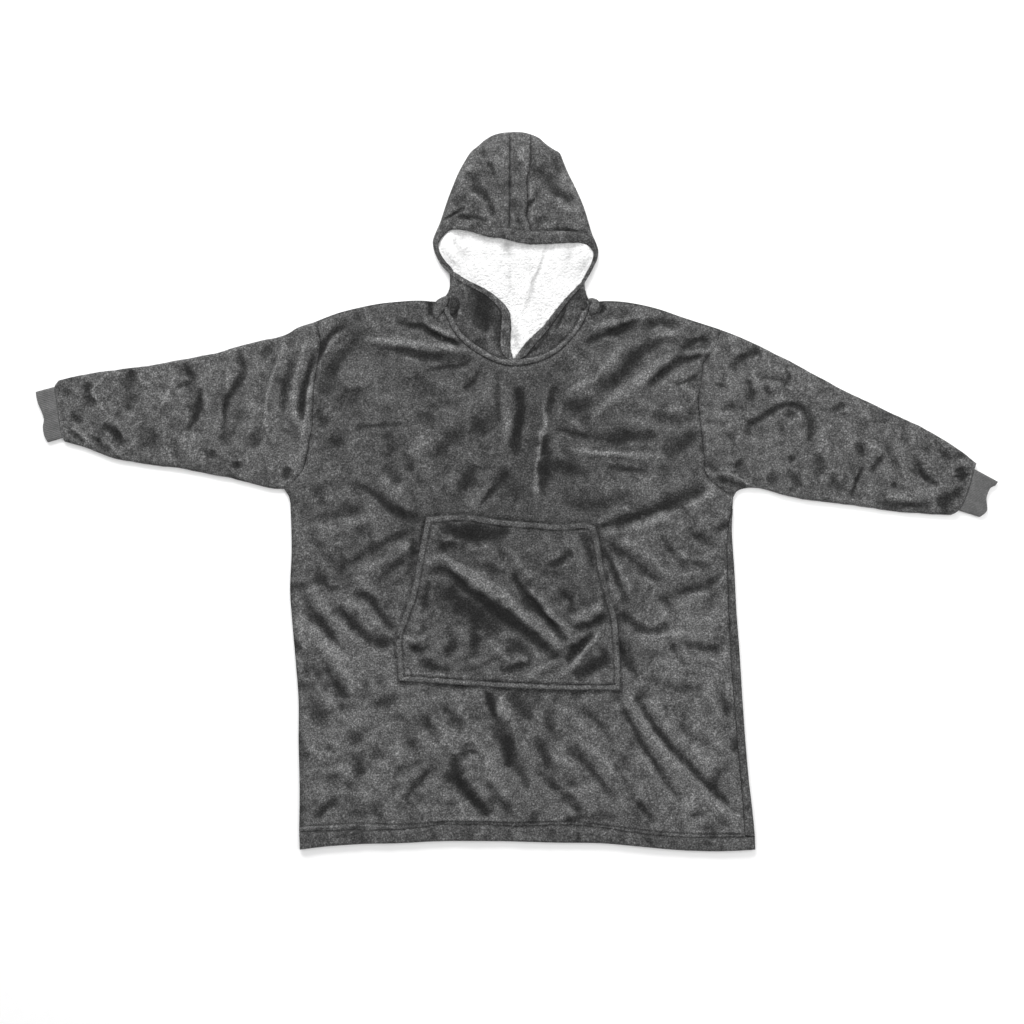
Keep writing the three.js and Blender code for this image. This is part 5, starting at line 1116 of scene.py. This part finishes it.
def hood_height(x, y, d=None):
    """Upper face of the hood and its nap."""
    if d is None:
        d = distance(x, y, hood_outline)
    c, nap = creases(x, y, HOOD_CREASES, 1.4)
    flap = 1 - ease((y - 425) / 30)
    c = np.maximum(c, -2.4 + 1.8 * flap)
    # painted shade on the two flaps under the rim
    nap = nap - 1.9 * np.exp(-(((x + 60) / 28) ** 2 + ((y - 332) / 42) ** 2)) - 0.8 * np.exp(-(((x - 92) / 20) ** 2 + ((y - 340) / 30) ** 2))
    z = HOOD_FOLD_Z + 0.4 + (hood_level(y) - HOOD_FOLD_Z) * rounded(d / 42)
    soft = ease(d / 16)
    z += (c + 0.9 * fbm(x / 60, y / 60, 101, 2) + 0.3 * fbm(x / 18, y / 18, 102, 2)) * soft
    nap = nap + 0.8 * mottle(x, y, 103, 78, 0.62) + 0.14
    high = ease((y - 440) / 14)
    for rows in (STRIP_RIGHT, STRIP_LEFT):
        e = np.abs(x - seam_x(rows, y))
        z -= 1.5 * np.exp(-((e / 2.4) ** 2)) * high
        # painted shade in the seams of the centre strip
        nap -= np.clip(0.9 + 0.7 * noise(y / 21, 0 * y + rows[0][1], 104), 0.3, 1.5) * np.exp(-((e / 1.7) ** 2)) * high
    # the cloth is drawn down behind the turned rim
    g = distance(x, y, rim_line)
    z -= (1.8 - 1.2 * flap) * inside(x, y, rim_line[:-1]) * ease(g / 2.5)
    low_side = 1 - ease((y - 425) / 22)
    z -= (0.5 + 0.9 * low_side) * np.exp(-((g / 3.2) ** 2))
    # painted shade along the rim on its upper part, and a painted shadow of the rim on the flaps below it
    nap -= (0.35 + 0.3 * noise(x / 14, y / 14, 105)) * np.exp(-((g / 2.0) ** 2)) * (1 - low_side) + 1.25 * low_side * np.exp(-((g / 4.2) ** 2)) * ease((d - 6) / 10)
    nap = np.where(d < 8, np.maximum(nap, -0.5), nap)
    return z, nap


def build_hood(material):
    us = np.concatenate([[0, 0.003, 0.007, 0.012, 0.022], np.linspace(0.036, 0.964, 108), [0.978, 0.988, 0.993, 0.997, 1]])
    vs = np.concatenate([[0, 0.002, 0.005], np.linspace(0.009, 0.34, 74), np.linspace(0.345, 0.965, 96), [0.975, 0.984, 0.991, 0.996, 1]])
    xy = hood_grid(us, vs)
    x, y = xy[..., 0].copy(), xy[..., 1].copy()
    cx, cy = (x[:-1, :-1] + x[1:, 1:]) / 2, (y[:-1, :-1] + y[1:, 1:]) / 2
    gap = distance(opening[:, 0], opening[:, 1], hood_outline)
    cut = opening[:, :2] + opening_out * np.clip(gap - 5.2, 0.3, 0.5 * opening[:, 2])[:, None]
    hole = inside(cx, cy, cut)
    hole[:, :3] = hole[:, -3:] = hole[-3:] = False
    above = cy > np.interp(cx, NECK_BACK_X, NECK_BACK_Y)
    which = np.where(cy < 299.5, np.where(cx < -5, 0, 2), np.where(cx < seam_x(STRIP_RIGHT, cy), 0, np.where(cx > seam_x(STRIP_LEFT, cy), 2, 1)))
    rows, cols = x.shape

    def touching(mask):
        t = np.zeros((rows, cols), bool)
        for dj in (0, 1):
            for di in (0, 1):
                t[dj:rows - 1 + dj, di:cols - 1 + di] |= mask
        return t

    # the upper layer ends exactly on the opening's line
    ux, uy = x.copy(), y.copy()
    rim = touching(hole) & touching(~hole)
    rim[:, :3] = rim[:, -3:] = False
    ring_line = np.vstack([cut, cut[:1]])
    _, t = nearest(x[rim], y[rim], ring_line)
    snapped = at(ring_line, t)
    ux[rim], uy[rim] = snapped[:, 0], snapped[:, 1]
    lx, ly = x.copy(), y.copy()
    rim2 = touching(above) & touching(~above)
    ly[rim2] = np.interp(x[rim2], NECK_BACK_X, NECK_BACK_Y)
    # both layers split on the seams of the centre strip
    for px, py in ((ux, uy), (lx, ly)):
        for rows_, group in ((STRIP_RIGHT, (0,)), (STRIP_LEFT, (2,))):
            m = touching(np.isin(which, group)) & touching(~np.isin(which, group))
            m &= py > 303
            px[m] = seam_x(rows_, py[m])
        m = touching((which == 0)) & touching((which == 2)) & (py < 299)
        px[m] = -5.0
    du = distance(ux, uy, hood_outline)
    dl = distance(lx, ly, hood_outline)
    z_top, nap = hood_height(ux, uy, du)
    nap += painted_relief_shade(z_top, 2, 0.2)
    d_neck = distance(ux, uy, thin(neck_front, 4))
    z_top += seam_dip(d_neck, 1.6, 6)
    # painted shadow of the raised neck seam on the hood
    nap -= 1.1 * np.exp(-(((d_neck - 9.6) / 2.4) ** 2))
    z_low = (HOOD_FOLD_Z - 0.4) * (1 - rounded(dl / 13)) + np.clip(0.8 * fbm(lx / 34, ly / 34, 107, 3) - 0.1, 0, 1.2) * ease((dl - 14) / 14)
    for rows_ in (STRIP_RIGHT, STRIP_LEFT):
        z_low += 0.9 * np.exp(-(((lx - seam_x(rows_, ly)) / 2.4) ** 2)) * ease((dl - 6) / 8) * (ly > 300)
    nap_low = 0.7 * mottle(lx, ly, 108, 84, 0.7)
    for rows_ in (STRIP_RIGHT, STRIP_LEFT):
        # painted shade in the centre strip's seams on the lower layer too
        nap_low -= 0.9 * np.exp(-(((lx - seam_x(rows_, ly)) / 2.2) ** 2)) * (ly > 300)
    # the inner faces are drawn in from the outline by the wall
    e = 0.5

    def inward(px, py, d):
        gx = distance(px + e, py, hood_outline) - distance(px - e, py, hood_outline)
        gy = distance(px, py + e, hood_outline) - distance(px, py - e, hood_outline)
        n = np.maximum(np.hypot(gx, gy), 1e-3)
        s = HOOD_WALL * (1 - ease((d - 2) / 22))
        return px + gx / n * s, py + gy / n * s

    edge = np.zeros((rows, cols), bool)
    edge[:, 0] = edge[:, -1] = edge[-1, :] = True
    def centre_pull(px, py):
        ax, ay = 0 - px, 470 - py
        n = np.hypot(ax, ay)
        return px + ax / n * HOOD_WALL, py + ay / n * HOOD_WALL

    parts = []
    ix_t, iy_t = inward(ux, uy, du)
    ix_l, iy_l = inward(lx, ly, dl)
    for (ix, iy, px, py) in ((ix_t, iy_t, ux, uy), (ix_l, iy_l, lx, ly)):
        cxp, cyp = centre_pull(px[edge], py[edge])
        ix[edge], iy[edge] = cxp, cyp
    in_t = np.minimum(z_top - HOOD_WALL, HOOD_FOLD_Z + 0.2 + (hood_level(uy) - HOOD_WALL - HOOD_FOLD_Z) * rounded((du - 0.5) / 42))
    in_t = np.maximum(in_t, HOOD_FOLD_Z + 0.2)
    in_l = np.maximum(z_low + 1.0, HOOD_WALL + (HOOD_FOLD_Z - 0.2 - HOOD_WALL) * (1 - rounded(dl / 13)))
    in_l = np.minimum(in_l, HOOD_FOLD_Z - 0.2)
    out = []
    for k, name in enumerate(("right", "centre", "left")):
        upper_keep = (which == k) & ~hole
        lower_keep = (which == k) & above
        shift = {0: -0.25, 1: 0.0, 2: 0.25}[k]
        net = Net()
        sx = np.zeros((rows, cols))
        m = touching(which == k) & touching(which != k)
        sx[m] = shift
        a = net.points(np.dstack([ux + sx, uy, z_top]), nap)
        b = net.points(np.dstack([ix_t + sx, iy_t, in_t]), -0.5)
        c = net.points(np.dstack([lx + sx, ly, z_low]), nap_low)
        d = net.points(np.dstack([ix_l + sx, iy_l, in_l]), -0.5)
        qa = grid_faces(a, rows, cols, upper_keep)
        qc = grid_faces(c, rows, cols, lower_keep, flip=True)
        net.quads(qa)
        net.quads(grid_faces(b, rows, cols, upper_keep, flip=True))
        net.quads(qc)
        net.quads(grid_faces(d, rows, cols, lower_keep))
        # edges on the outline join the upper and lower cloth; the others join the two faces of one cloth
        def free_edges(q, first):
            ed = np.concatenate([q[:, [0, 1]], q[:, [1, 2]], q[:, [2, 3]], q[:, [3, 0]]]) - first
            big = rows * cols
            key, back = ed[:, 0] * big + ed[:, 1], ed[:, 1] * big + ed[:, 0]
            return ed[~np.isin(key, back)]
        fa, fc = free_edges(qa, a), free_edges(qc, c)
        flat_edge = edge.ravel()
        big = rows * cols
        keyc = set((fc[:, 1] * big + fc[:, 0]).tolist())
        on = np.array([flat_edge[p] and flat_edge[q] and (p * big + q) in keyc for p, q in fa], bool)
        shared = set((fa[on][:, 0] * big + fa[on][:, 1]).tolist())
        onc = np.array([(q * big + p) in shared for p, q in fc], bool)
        f = fa[on]
        net.quads(np.stack([f[:, 1] + a, f[:, 0] + a, f[:, 0] + c, f[:, 1] + c], axis=1))
        net.quads(np.stack([f[:, 0] + b, f[:, 1] + b, f[:, 1] + d, f[:, 0] + d], axis=1))
        f = fa[~on]
        net.quads(np.stack([f[:, 1] + a, f[:, 0] + a, f[:, 0] + b, f[:, 1] + b], axis=1))
        f = fc[~onc]
        net.quads(np.stack([f[:, 1] + c, f[:, 0] + c, f[:, 0] + d, f[:, 1] + d], axis=1))
        out.append(make("hoodie_hood_" + name, net, material, nodes=["hood_" + name]))
    return out


def build_brim(material):
    n = len(opening)
    along = np.arange(n) / n
    sections, naps = [], []
    outer = opening_at(1.0)
    level, _ = hood_height(outer[:, 0], outer[:, 1])
    for _ in range(10):
        level = (np.roll(level, 1) + level + np.roll(level, -1)) / 3
    level = level + 2.4
    band = opening[:, 2]
    count = 22
    for k in range(count):
        a = 2 * math.pi * k / count
        share = 0.5 - 0.5 * math.copysign(abs(math.cos(a)) ** 0.8, math.cos(a))
        rise = math.copysign(abs(math.sin(a)) ** 0.75, math.sin(a))
        up = np.clip(band * 0.30, 2.2, 3.8)
        mid = level - 2.4 - 1.6 * (1 - share)
        z = mid + rise * (up if rise > 0 else 3.6)
        p = opening[:, :2] + opening_out * (band * share)[:, None]
        p = p + opening_out * (0.7 * noise(p[:, 0] / 7, p[:, 1] / 7, 114) * (1 - share))[:, None]
        z = z + (0.7 * noise(p[:, 0] / 11, p[:, 1] / 11, 111) + 0.5 * noise(p[:, 0] / 24, p[:, 1] / 24, 112)) * (rise > 0)
        sections.append(np.column_stack([p, z]))
        low_side = 1 - ease((p[:, 1] - 425) / 22)
        # painted highlight along the brim's outer edge low down, painted shade along it higher up, and painted shade
        # on its underside
        lip_highlight_and_shade = 0.75 * low_side * math.exp(-(((share - 0.9) / 0.08) ** 2)) - 0.35 * (1 - low_side) * math.exp(-(((1 - share) / 0.07) ** 2))
        naps.append(0.10 + 0.9 * mottle(p[:, 0], p[:, 1], 113, 30, 0.5) + lip_highlight_and_shade - (0 if rise >= 0 else 0.6))
    co = np.stack(sections, axis=1)
    net = Net()
    ring(net, co, np.stack(naps, axis=1))
    return make("hoodie_brim", net, material, nodes=["hood_brim"])


# ---------------------------------------------------------------- sherpa lining
def build_lining(material):
    bottom, top = spline(LINING_BOTTOM, 80), spline(LINING_TOP, 200)
    right, left = spline(LINING_RIGHT, 240), spline(LINING_LEFT, 240)
    us, vs = np.linspace(0, 1, 201), np.linspace(0, 1, 225)
    xy = coons(bottom, top, right, left, us, vs)
    x, y = xy[..., 0], xy[..., 1]
    rim = np.vstack([thin(right, 6), thin(top, 8)[1:], thin(left, 6)[::-1][1:], thin(bottom, 8)[::-1][1:]])
    d = distance(x, y, rim)
    c, nap = creases(x, y, LINING_CREASES, 3)
    d_out = distance(x, y, hood_outline)
    floor_ = HOOD_WALL + 2.4 + 3.4 * (1 - rounded((d_out - 3) / 13))
    base = LAYER + (floor_ - LAYER) * ease((y - 318) / 42)
    hill = 9.5 * ease((y - 380) / 60) * ease(d / 15) + 6.0 * ease((y - 320) / 110) * (1 - ease((y - 380) / 60)) * ease(d / 30) + 0.8 * c
    # curls: round tufts on a jittered net, with finer loops over them
    wx, wy = x + 2.2 * noise(x / 6, y / 6, 121), y + 2.2 * noise(x / 6, y / 6, 122)
    tuft = np.abs(noise(wx / 5.2, wy / 5.2, 123))
    fine = np.abs(noise(wx / 2.4 + 9, wy / 2.4, 124))
    curl = (1 - tuft * 1.6) * 0.9 + (1 - fine * 1.6) * 0.42
    z = base + 2.4 + hill + 1.1 * curl * ease(d / 3)
    # painted shade between the curls and along the lining's edge, the random tone, and a painted highlight near the
    # top of its edge
    nap = nap + 0.30 * (curl - 0.75) + 0.40 * fbm(x / 26, y / 26, 125, 2) - 0.4 * np.exp(-((d / 3.0) ** 2)) + 0.7 * np.exp(-((d / 20) ** 2)) * ease((y - 400) / 30)
    under = np.minimum(z - 0.9, base)
    net = Net()
    slab(net, np.dstack([x, y, z]), np.dstack([x, y, under]), nap, k=5, nap_low=-0.3)
    return make("hoodie_lining", net, material, nodes=["hood_lining"])


# ---------------------------------------------------------------- raised neck seam, with the cloth bunched at its ends
KNOTS = [  # course x, y and half width in mm, height over the layer below, tone
    ([(-122, 349, 6), (-132, 340, 10), (-141, 326, 11), (-146, 312, 7)], 7.5, 0.55),
    ([(-115, 351, 6), (-111, 340, 9), (-112, 328, 8), (-118, 316, 5)], 8.0, -1.5),
    ([(129, 345, 5), (138, 338, 9), (138, 328, 10), (132, 317, 6)], 8.0, 0.5),
    ([(122, 344, 3.5), (122, 335, 5), (118, 325, 4.5)], 6.5, -1.0),
]


def build_neck_seam(material):
    n = 300
    lower = spline(NECK, n)
    step = np.gradient(lower, axis=0)
    step /= np.linalg.norm(step, axis=1)[:, None]
    inward = np.stack([-step[:, 1], step[:, 0]], axis=1)  # towards the hood
    t = np.linspace(0, 1, n + 1)
    ends = np.sin(math.pi * t) ** 0.35
    wide = 10.5 * (0.72 + 0.28 * ends)
    zf, _ = front_height(lower[:, 0], lower[:, 1])
    mid_line = lower + inward * (wide * 0.5)[:, None]
    zh, _ = hood_height(mid_line[:, 0], mid_line[:, 1])
    base = np.minimum(zf, zh + 0.6)
    for _ in range(6):
        base[1:-1] = (base[:-2] + base[1:-1] + base[2:]) / 3
    count = 20
    rings, naps = [], []
    for k in range(count):
        a = 2 * math.pi * k / count
        share = 0.5 - 0.5 * math.copysign(abs(math.cos(a)) ** 0.85, math.cos(a))
        rise = math.sin(a)
        p = lower + inward * (wide * (share - 0.06))[:, None]
        bulge = 3.6 + 0.5 * noise(p[:, 0] / 12, p[:, 1] / 12, 131)
        dip = 0.55 * (math.exp(-(((share - 0.2) / 0.08) ** 2)) + math.exp(-(((share - 0.82) / 0.08) ** 2)))
        z = base - 1.0 + (rise * (bulge - dip * 1.2) if rise > 0 else rise * 2.2)
        rings.append(np.column_stack([p, z]))
        # the band's random tone, with painted shade in its two stitched dips and on its underside
        naps.append(0.72 + 0.5 * mottle(p[:, 0], p[:, 1], 133, 20, 0.5) - 0.5 * dip - (1.7 if rise < 0.12 else 0))
    net = Net()
    rod(net, np.stack(rings, axis=1), np.stack(naps, axis=1))
    for course, tall, tone in KNOTS:
        line = spline(course, 30)
        step = np.gradient(line[:, :2], axis=0)
        step /= np.linalg.norm(step, axis=1)[:, None]
        side = np.stack([-step[:, 1], step[:, 0]], axis=1)
        shut = np.sqrt(np.clip(1 - (2 * np.linspace(0.02, 0.98, 31) - 1) ** 2, 0, 1)) ** 0.6
        rings, naps = [], []
        for k in range(18):
            a = 2 * math.pi * k / 18
            lump = 1 + 0.12 * noise(line[:, 0] / 5, line[:, 1] / 5 + k / 3, 134)
            p = line[:, :2] + side * (math.cos(a) * line[:, 2] * shut * lump)[:, None]
            z = 11.0 + math.sin(a) * shut * (tall * lump if math.sin(a) > 0 else 2.0)
            rings.append(np.column_stack([p, z]))
            # the lumps' tone, with painted shade on their lower sides and at their tucked ends
            naps.append(tone + 0.7 * mottle(p[:, 0], p[:, 1], 135, 70, 0.4) - (2.2 if math.sin(a) < 0.4 else 0) - 0.8 * (1 - shut))
        rod(net, np.stack(rings, axis=1), np.stack(naps, axis=1))
    return make("hoodie_neck_seam", net, material)


# ---------------------------------------------------------------- thread
def build_thread(material):
    net = Net()
    front = lambda x, y: front_height(x, y)[0]
    stitches(net, hem_stitch, front, nap=-0.9)
    pocket_z = lambda x, y: pocket_height(x, y)[0]
    # inside the pocket's edge bands
    def inset(line, amount, a, b):
        step = np.gradient(line, axis=0)
        step /= np.linalg.norm(step, axis=1)[:, None]
        side = np.stack([-step[:, 1], step[:, 0]], axis=1)
        return resample((line + side * amount)[int(a * len(line)):int(b * len(line))], 200)
    for line, amount, a, b in ((pocket_bottom, 13.8, 0.035, 0.965), (pocket_top, -12.0, 0.045, 0.955), (pocket_right, -12.0, 0.05, 0.96), (pocket_left, 12.0, 0.05, 0.96)):
        stitches(net, inset(line, amount, a, b), pocket_z, nap=-0.8)
    # bar tacks where the hand openings end
    for cx, cy, turn in ((-212.5, -261, 0.1), (180.5, -272, -0.1)):
        for k in range(9):
            a = np.array([[cx - 4.2, cy - 3 + 0.75 * k], [cx + 4.2, cy - 3 + 0.75 * k + turn]])
            stitches(net, resample(a, 4), lambda x, y: np.full(np.shape(x), 12.9), long=7.6, gap=0.5, wide=0.75, tall=0.5, nap=-0.9)
    return make("hoodie_thread", net, material)


# ---------------------------------------------------------------- materials
def graph(material):
    tree = material.node_tree
    for n in list(tree.nodes):
        tree.nodes.remove(n)

    def node(kind, inputs=None, **settings):
        n = tree.nodes.new(kind)
        for key, value in settings.items():
            setattr(n, key, value)
        for key, value in (inputs or {}).items():
            if isinstance(value, bpy.types.NodeSocket):
                tree.links.new(value, n.inputs[key])
            else:
                n.inputs[key].default_value = value
        return n

    def sum_(op, a, b):
        return node("ShaderNodeMath", {0: a, 1: b}, operation=op).outputs[0]

    return tree, node, sum_


def cloth(name, base, sheen, terms, bumps, low=-2.4, high=1.5, tint=(1.0, 1.0, 1.0), nap_gain=1.0):
    """Matt pile or knit: the nap attribute, which holds the random tone with painted shade and highlight, and noises
    at several sizes, added in stops, set the tone.
    terms: (kind, along mm, across mm, angle, gain); bumps: (size mm, depth mm, detail)."""
    m = bpy.data.materials.new(name)
    m.use_nodes = True
    tree, node, sum_ = graph(m)
    place = node("ShaderNodeTexCoord").outputs["Object"]
    nap = node("ShaderNodeAttribute", attribute_name="nap").outputs["Fac"]
    stops = sum_("MULTIPLY", nap, nap_gain)
    for kind, along, across, angle, gain, detail in terms:
        turned_ = node("ShaderNodeMapping", {"Vector": place, "Rotation": (0, 0, math.radians(angle)), "Scale": (1000 / along, 1000 / across, 1000 / across)}).outputs[0]
        if kind == "noise":
            f = node("ShaderNodeTexNoise", {"Vector": turned_, "Scale": 1.0, "Detail": detail, "Roughness": 0.55, "Distortion": 0.35}).outputs["Fac"]
            f = sum_("SUBTRACT", f, 0.5)
        else:
            f = node("ShaderNodeTexVoronoi", {"Vector": turned_, "Scale": 1.0, "Smoothness": 0.6}, feature="SMOOTH_F1").outputs["Distance"]
            f = sum_("SUBTRACT", 0.45, f)
        stops = sum_("ADD", stops, sum_("MULTIPLY", f, gain))
    stops = node("ShaderNodeClamp", {"Value": stops, "Min": low, "Max": high}).outputs[0]
    tone = sum_("MULTIPLY", sum_("POWER", 2.0, stops), base)
    colour = node("ShaderNodeCombineColor", {"Red": sum_("MULTIPLY", tone, tint[0]), "Green": sum_("MULTIPLY", tone, tint[1]), "Blue": sum_("MULTIPLY", tone, tint[2])}).outputs[0]
    normal = None
    for size, depth, detail in bumps:
        scaled = node("ShaderNodeMapping", {"Vector": place, "Scale": (1000 / size,) * 3}).outputs[0]
        h = node("ShaderNodeTexNoise", {"Vector": scaled, "Scale": 1.0, "Detail": detail, "Roughness": 0.6}).outputs["Fac"]
        inputs = {"Height": h, "Strength": 0.9, "Distance": depth * MM}
        if normal is not None:
            inputs["Normal"] = normal
        normal = node("ShaderNodeBump", inputs).outputs[0]
    shader = node("ShaderNodeBsdfPrincipled", {"Base Color": colour, "Roughness": 0.92, "Normal": normal})
    shader.inputs["Specular IOR Level"].default_value = 0.18
    shader.inputs["Sheen Weight"].default_value = sheen
    shader.inputs["Sheen Roughness"].default_value = 0.45
    shader.inputs["Sheen Tint"].default_value = (0.9, 0.9, 0.9, 1)
    rough = node("ShaderNodeTexNoise", {"Vector": place, "Scale": 240.0, "Detail": 2.0}).outputs["Fac"]
    tree.links.new(sum_("ADD", sum_("MULTIPLY", rough, 0.16), 0.82), shader.inputs["Roughness"])
    out = node("ShaderNodeOutputMaterial", {"Surface": shader.outputs[0]})
    return m


plush = cloth("plush_dark_grey", 0.0535, 0.08,
              [("noise", 19, 19, 0, 1.7, 2.0), ("noise", 8, 8, 0, 1.5, 2.0), ("noise", 2.6, 2.6, 0, 6.3, 2.0)],
              [(6.0, 1.6, 2.0), (2.2, 1.0, 2.0)], low=-3.4, high=3.0)
pocket_plush = cloth("plush_pocket", 0.0500, 0.08,
                     [("noise", 19, 19, 0, 1.7, 2.0), ("noise", 8, 8, 0, 1.5, 2.0), ("noise", 2.6, 2.6, 0, 6.3, 2.0)],
                     [(6.0, 1.6, 2.0), (2.2, 1.0, 2.0)], low=-3.4, high=3.0)
rib_knit = cloth("rib_knit_grey", 0.105, 0.12,
                 [("noise", 3.4, 2.0, 15, 1.5, 1.0), ("noise", 12, 12, 0, 0.5, 2.0)],
                 [(1.4, 0.4, 1.0)])
sherpa = cloth("sherpa_white", 0.70, 0.15,
               [("noise", 3.4, 3.4, 0, 0.5, 2.0), ("noise", 11, 11, 0, 0.4, 2.0)],
               [(3.0, 1.6, 2.0), (1.2, 0.6, 1.0)], low=-1.5, high=0.3, nap_gain=0.5)
thread = cloth("thread_dark", 0.055, 0.1, [("noise", 0.6, 0.6, 0, 0.6, 1.0)], [(0.4, 0.15, 1.0)])


# ---------------------------------------------------------------- the garment
front = build_front(plush)
back = build_back(plush)
hem = build_hem(plush)
sleeve_right, sleeve_left = build_sleeve("right", plush), build_sleeve("left", plush)
cuff_right, cuff_left = build_cuff("right", rib_knit), build_cuff("left", rib_knit)
hood_right, hood_centre, hood_left = build_hood(plush)
brim = build_brim(plush)
lining = build_lining(sherpa)
pocket = build_pocket(pocket_plush)
neck_seam = build_neck_seam(plush)
threads = build_thread(thread)


# ---------------------------------------------------------------- floor, light and camera
def build_floor():
    mesh = bpy.data.meshes.new("floor")
    r = 6.0
    mesh.from_pydata([(-r, -r, -0.0006), (r, -r, -0.0006), (r, r, -0.0006), (-r, r, -0.0006)], [], [(0, 1, 2, 3)])
    m = bpy.data.materials.new("pale_floor")
    m.use_nodes = True
    tree, node, sum_ = graph(m)
    place = node("ShaderNodeTexCoord").outputs["Object"]
    speck = node("ShaderNodeTexNoise", {"Vector": place, "Scale": 40.0, "Detail": 2.0}).outputs["Fac"]
    tone = sum_("ADD", 0.90, sum_("MULTIPLY", speck, 0.02))
    colour = node("ShaderNodeCombineColor", {"Red": tone, "Green": tone, "Blue": tone}).outputs[0]
    shader = node("ShaderNodeBsdfPrincipled", {"Base Color": colour, "Roughness": 0.9})
    shader.inputs["Specular IOR Level"].default_value = 0.1
    node("ShaderNodeOutputMaterial", {"Surface": shader.outputs[0]})
    mesh.materials.append(m)
    obj = bpy.data.objects.new("floor", mesh)
    bpy.context.scene.collection.objects.link(obj)


def area_light(name, place, aim, size, power):
    data = bpy.data.lights.new(name, "AREA")
    data.shape = "RECTANGLE"
    data.size, data.size_y = size
    data.energy = power
    obj = bpy.data.objects.new(name, data)
    bpy.context.scene.collection.objects.link(obj)
    obj.location = place
    way = Vector(aim) - Vector(place)
    obj.rotation_euler = way.to_track_quat("-Z", "Y").to_euler()


build_floor()
world = bpy.data.worlds.new("studio")
bpy.context.scene.world = world
world.use_nodes = True
world.node_tree.nodes["Background"].inputs["Color"].default_value = (1, 1, 1, 1)
world.node_tree.nodes["Background"].inputs["Strength"].default_value = 0.55
area_light("key", (-0.8, 2.8, 1.7), (0, 0, 0), (2.4, 1.0), 125)
area_light("fill", (1.6, 0.4, 2.2), (0, 0, 0), (1.6, 1.6), 22)
area_light("top", (0, 0, 3.6), (0, 0, 0), (3.0, 3.0), 30)

camera = bpy.data.cameras.new("camera")
camera.type = "PERSP"
camera.sensor_width = 36.0
camera.lens = 62.51
camera.clip_end = 50
view = bpy.data.objects.new("camera", camera)
bpy.context.scene.collection.objects.link(view)
view.location = (-0.00873, -0.03645, 3.2)
view.rotation_euler = (0, 0, 0)
bpy.context.scene.camera = view
bpy.context.scene.view_settings.view_transform = "Standard"
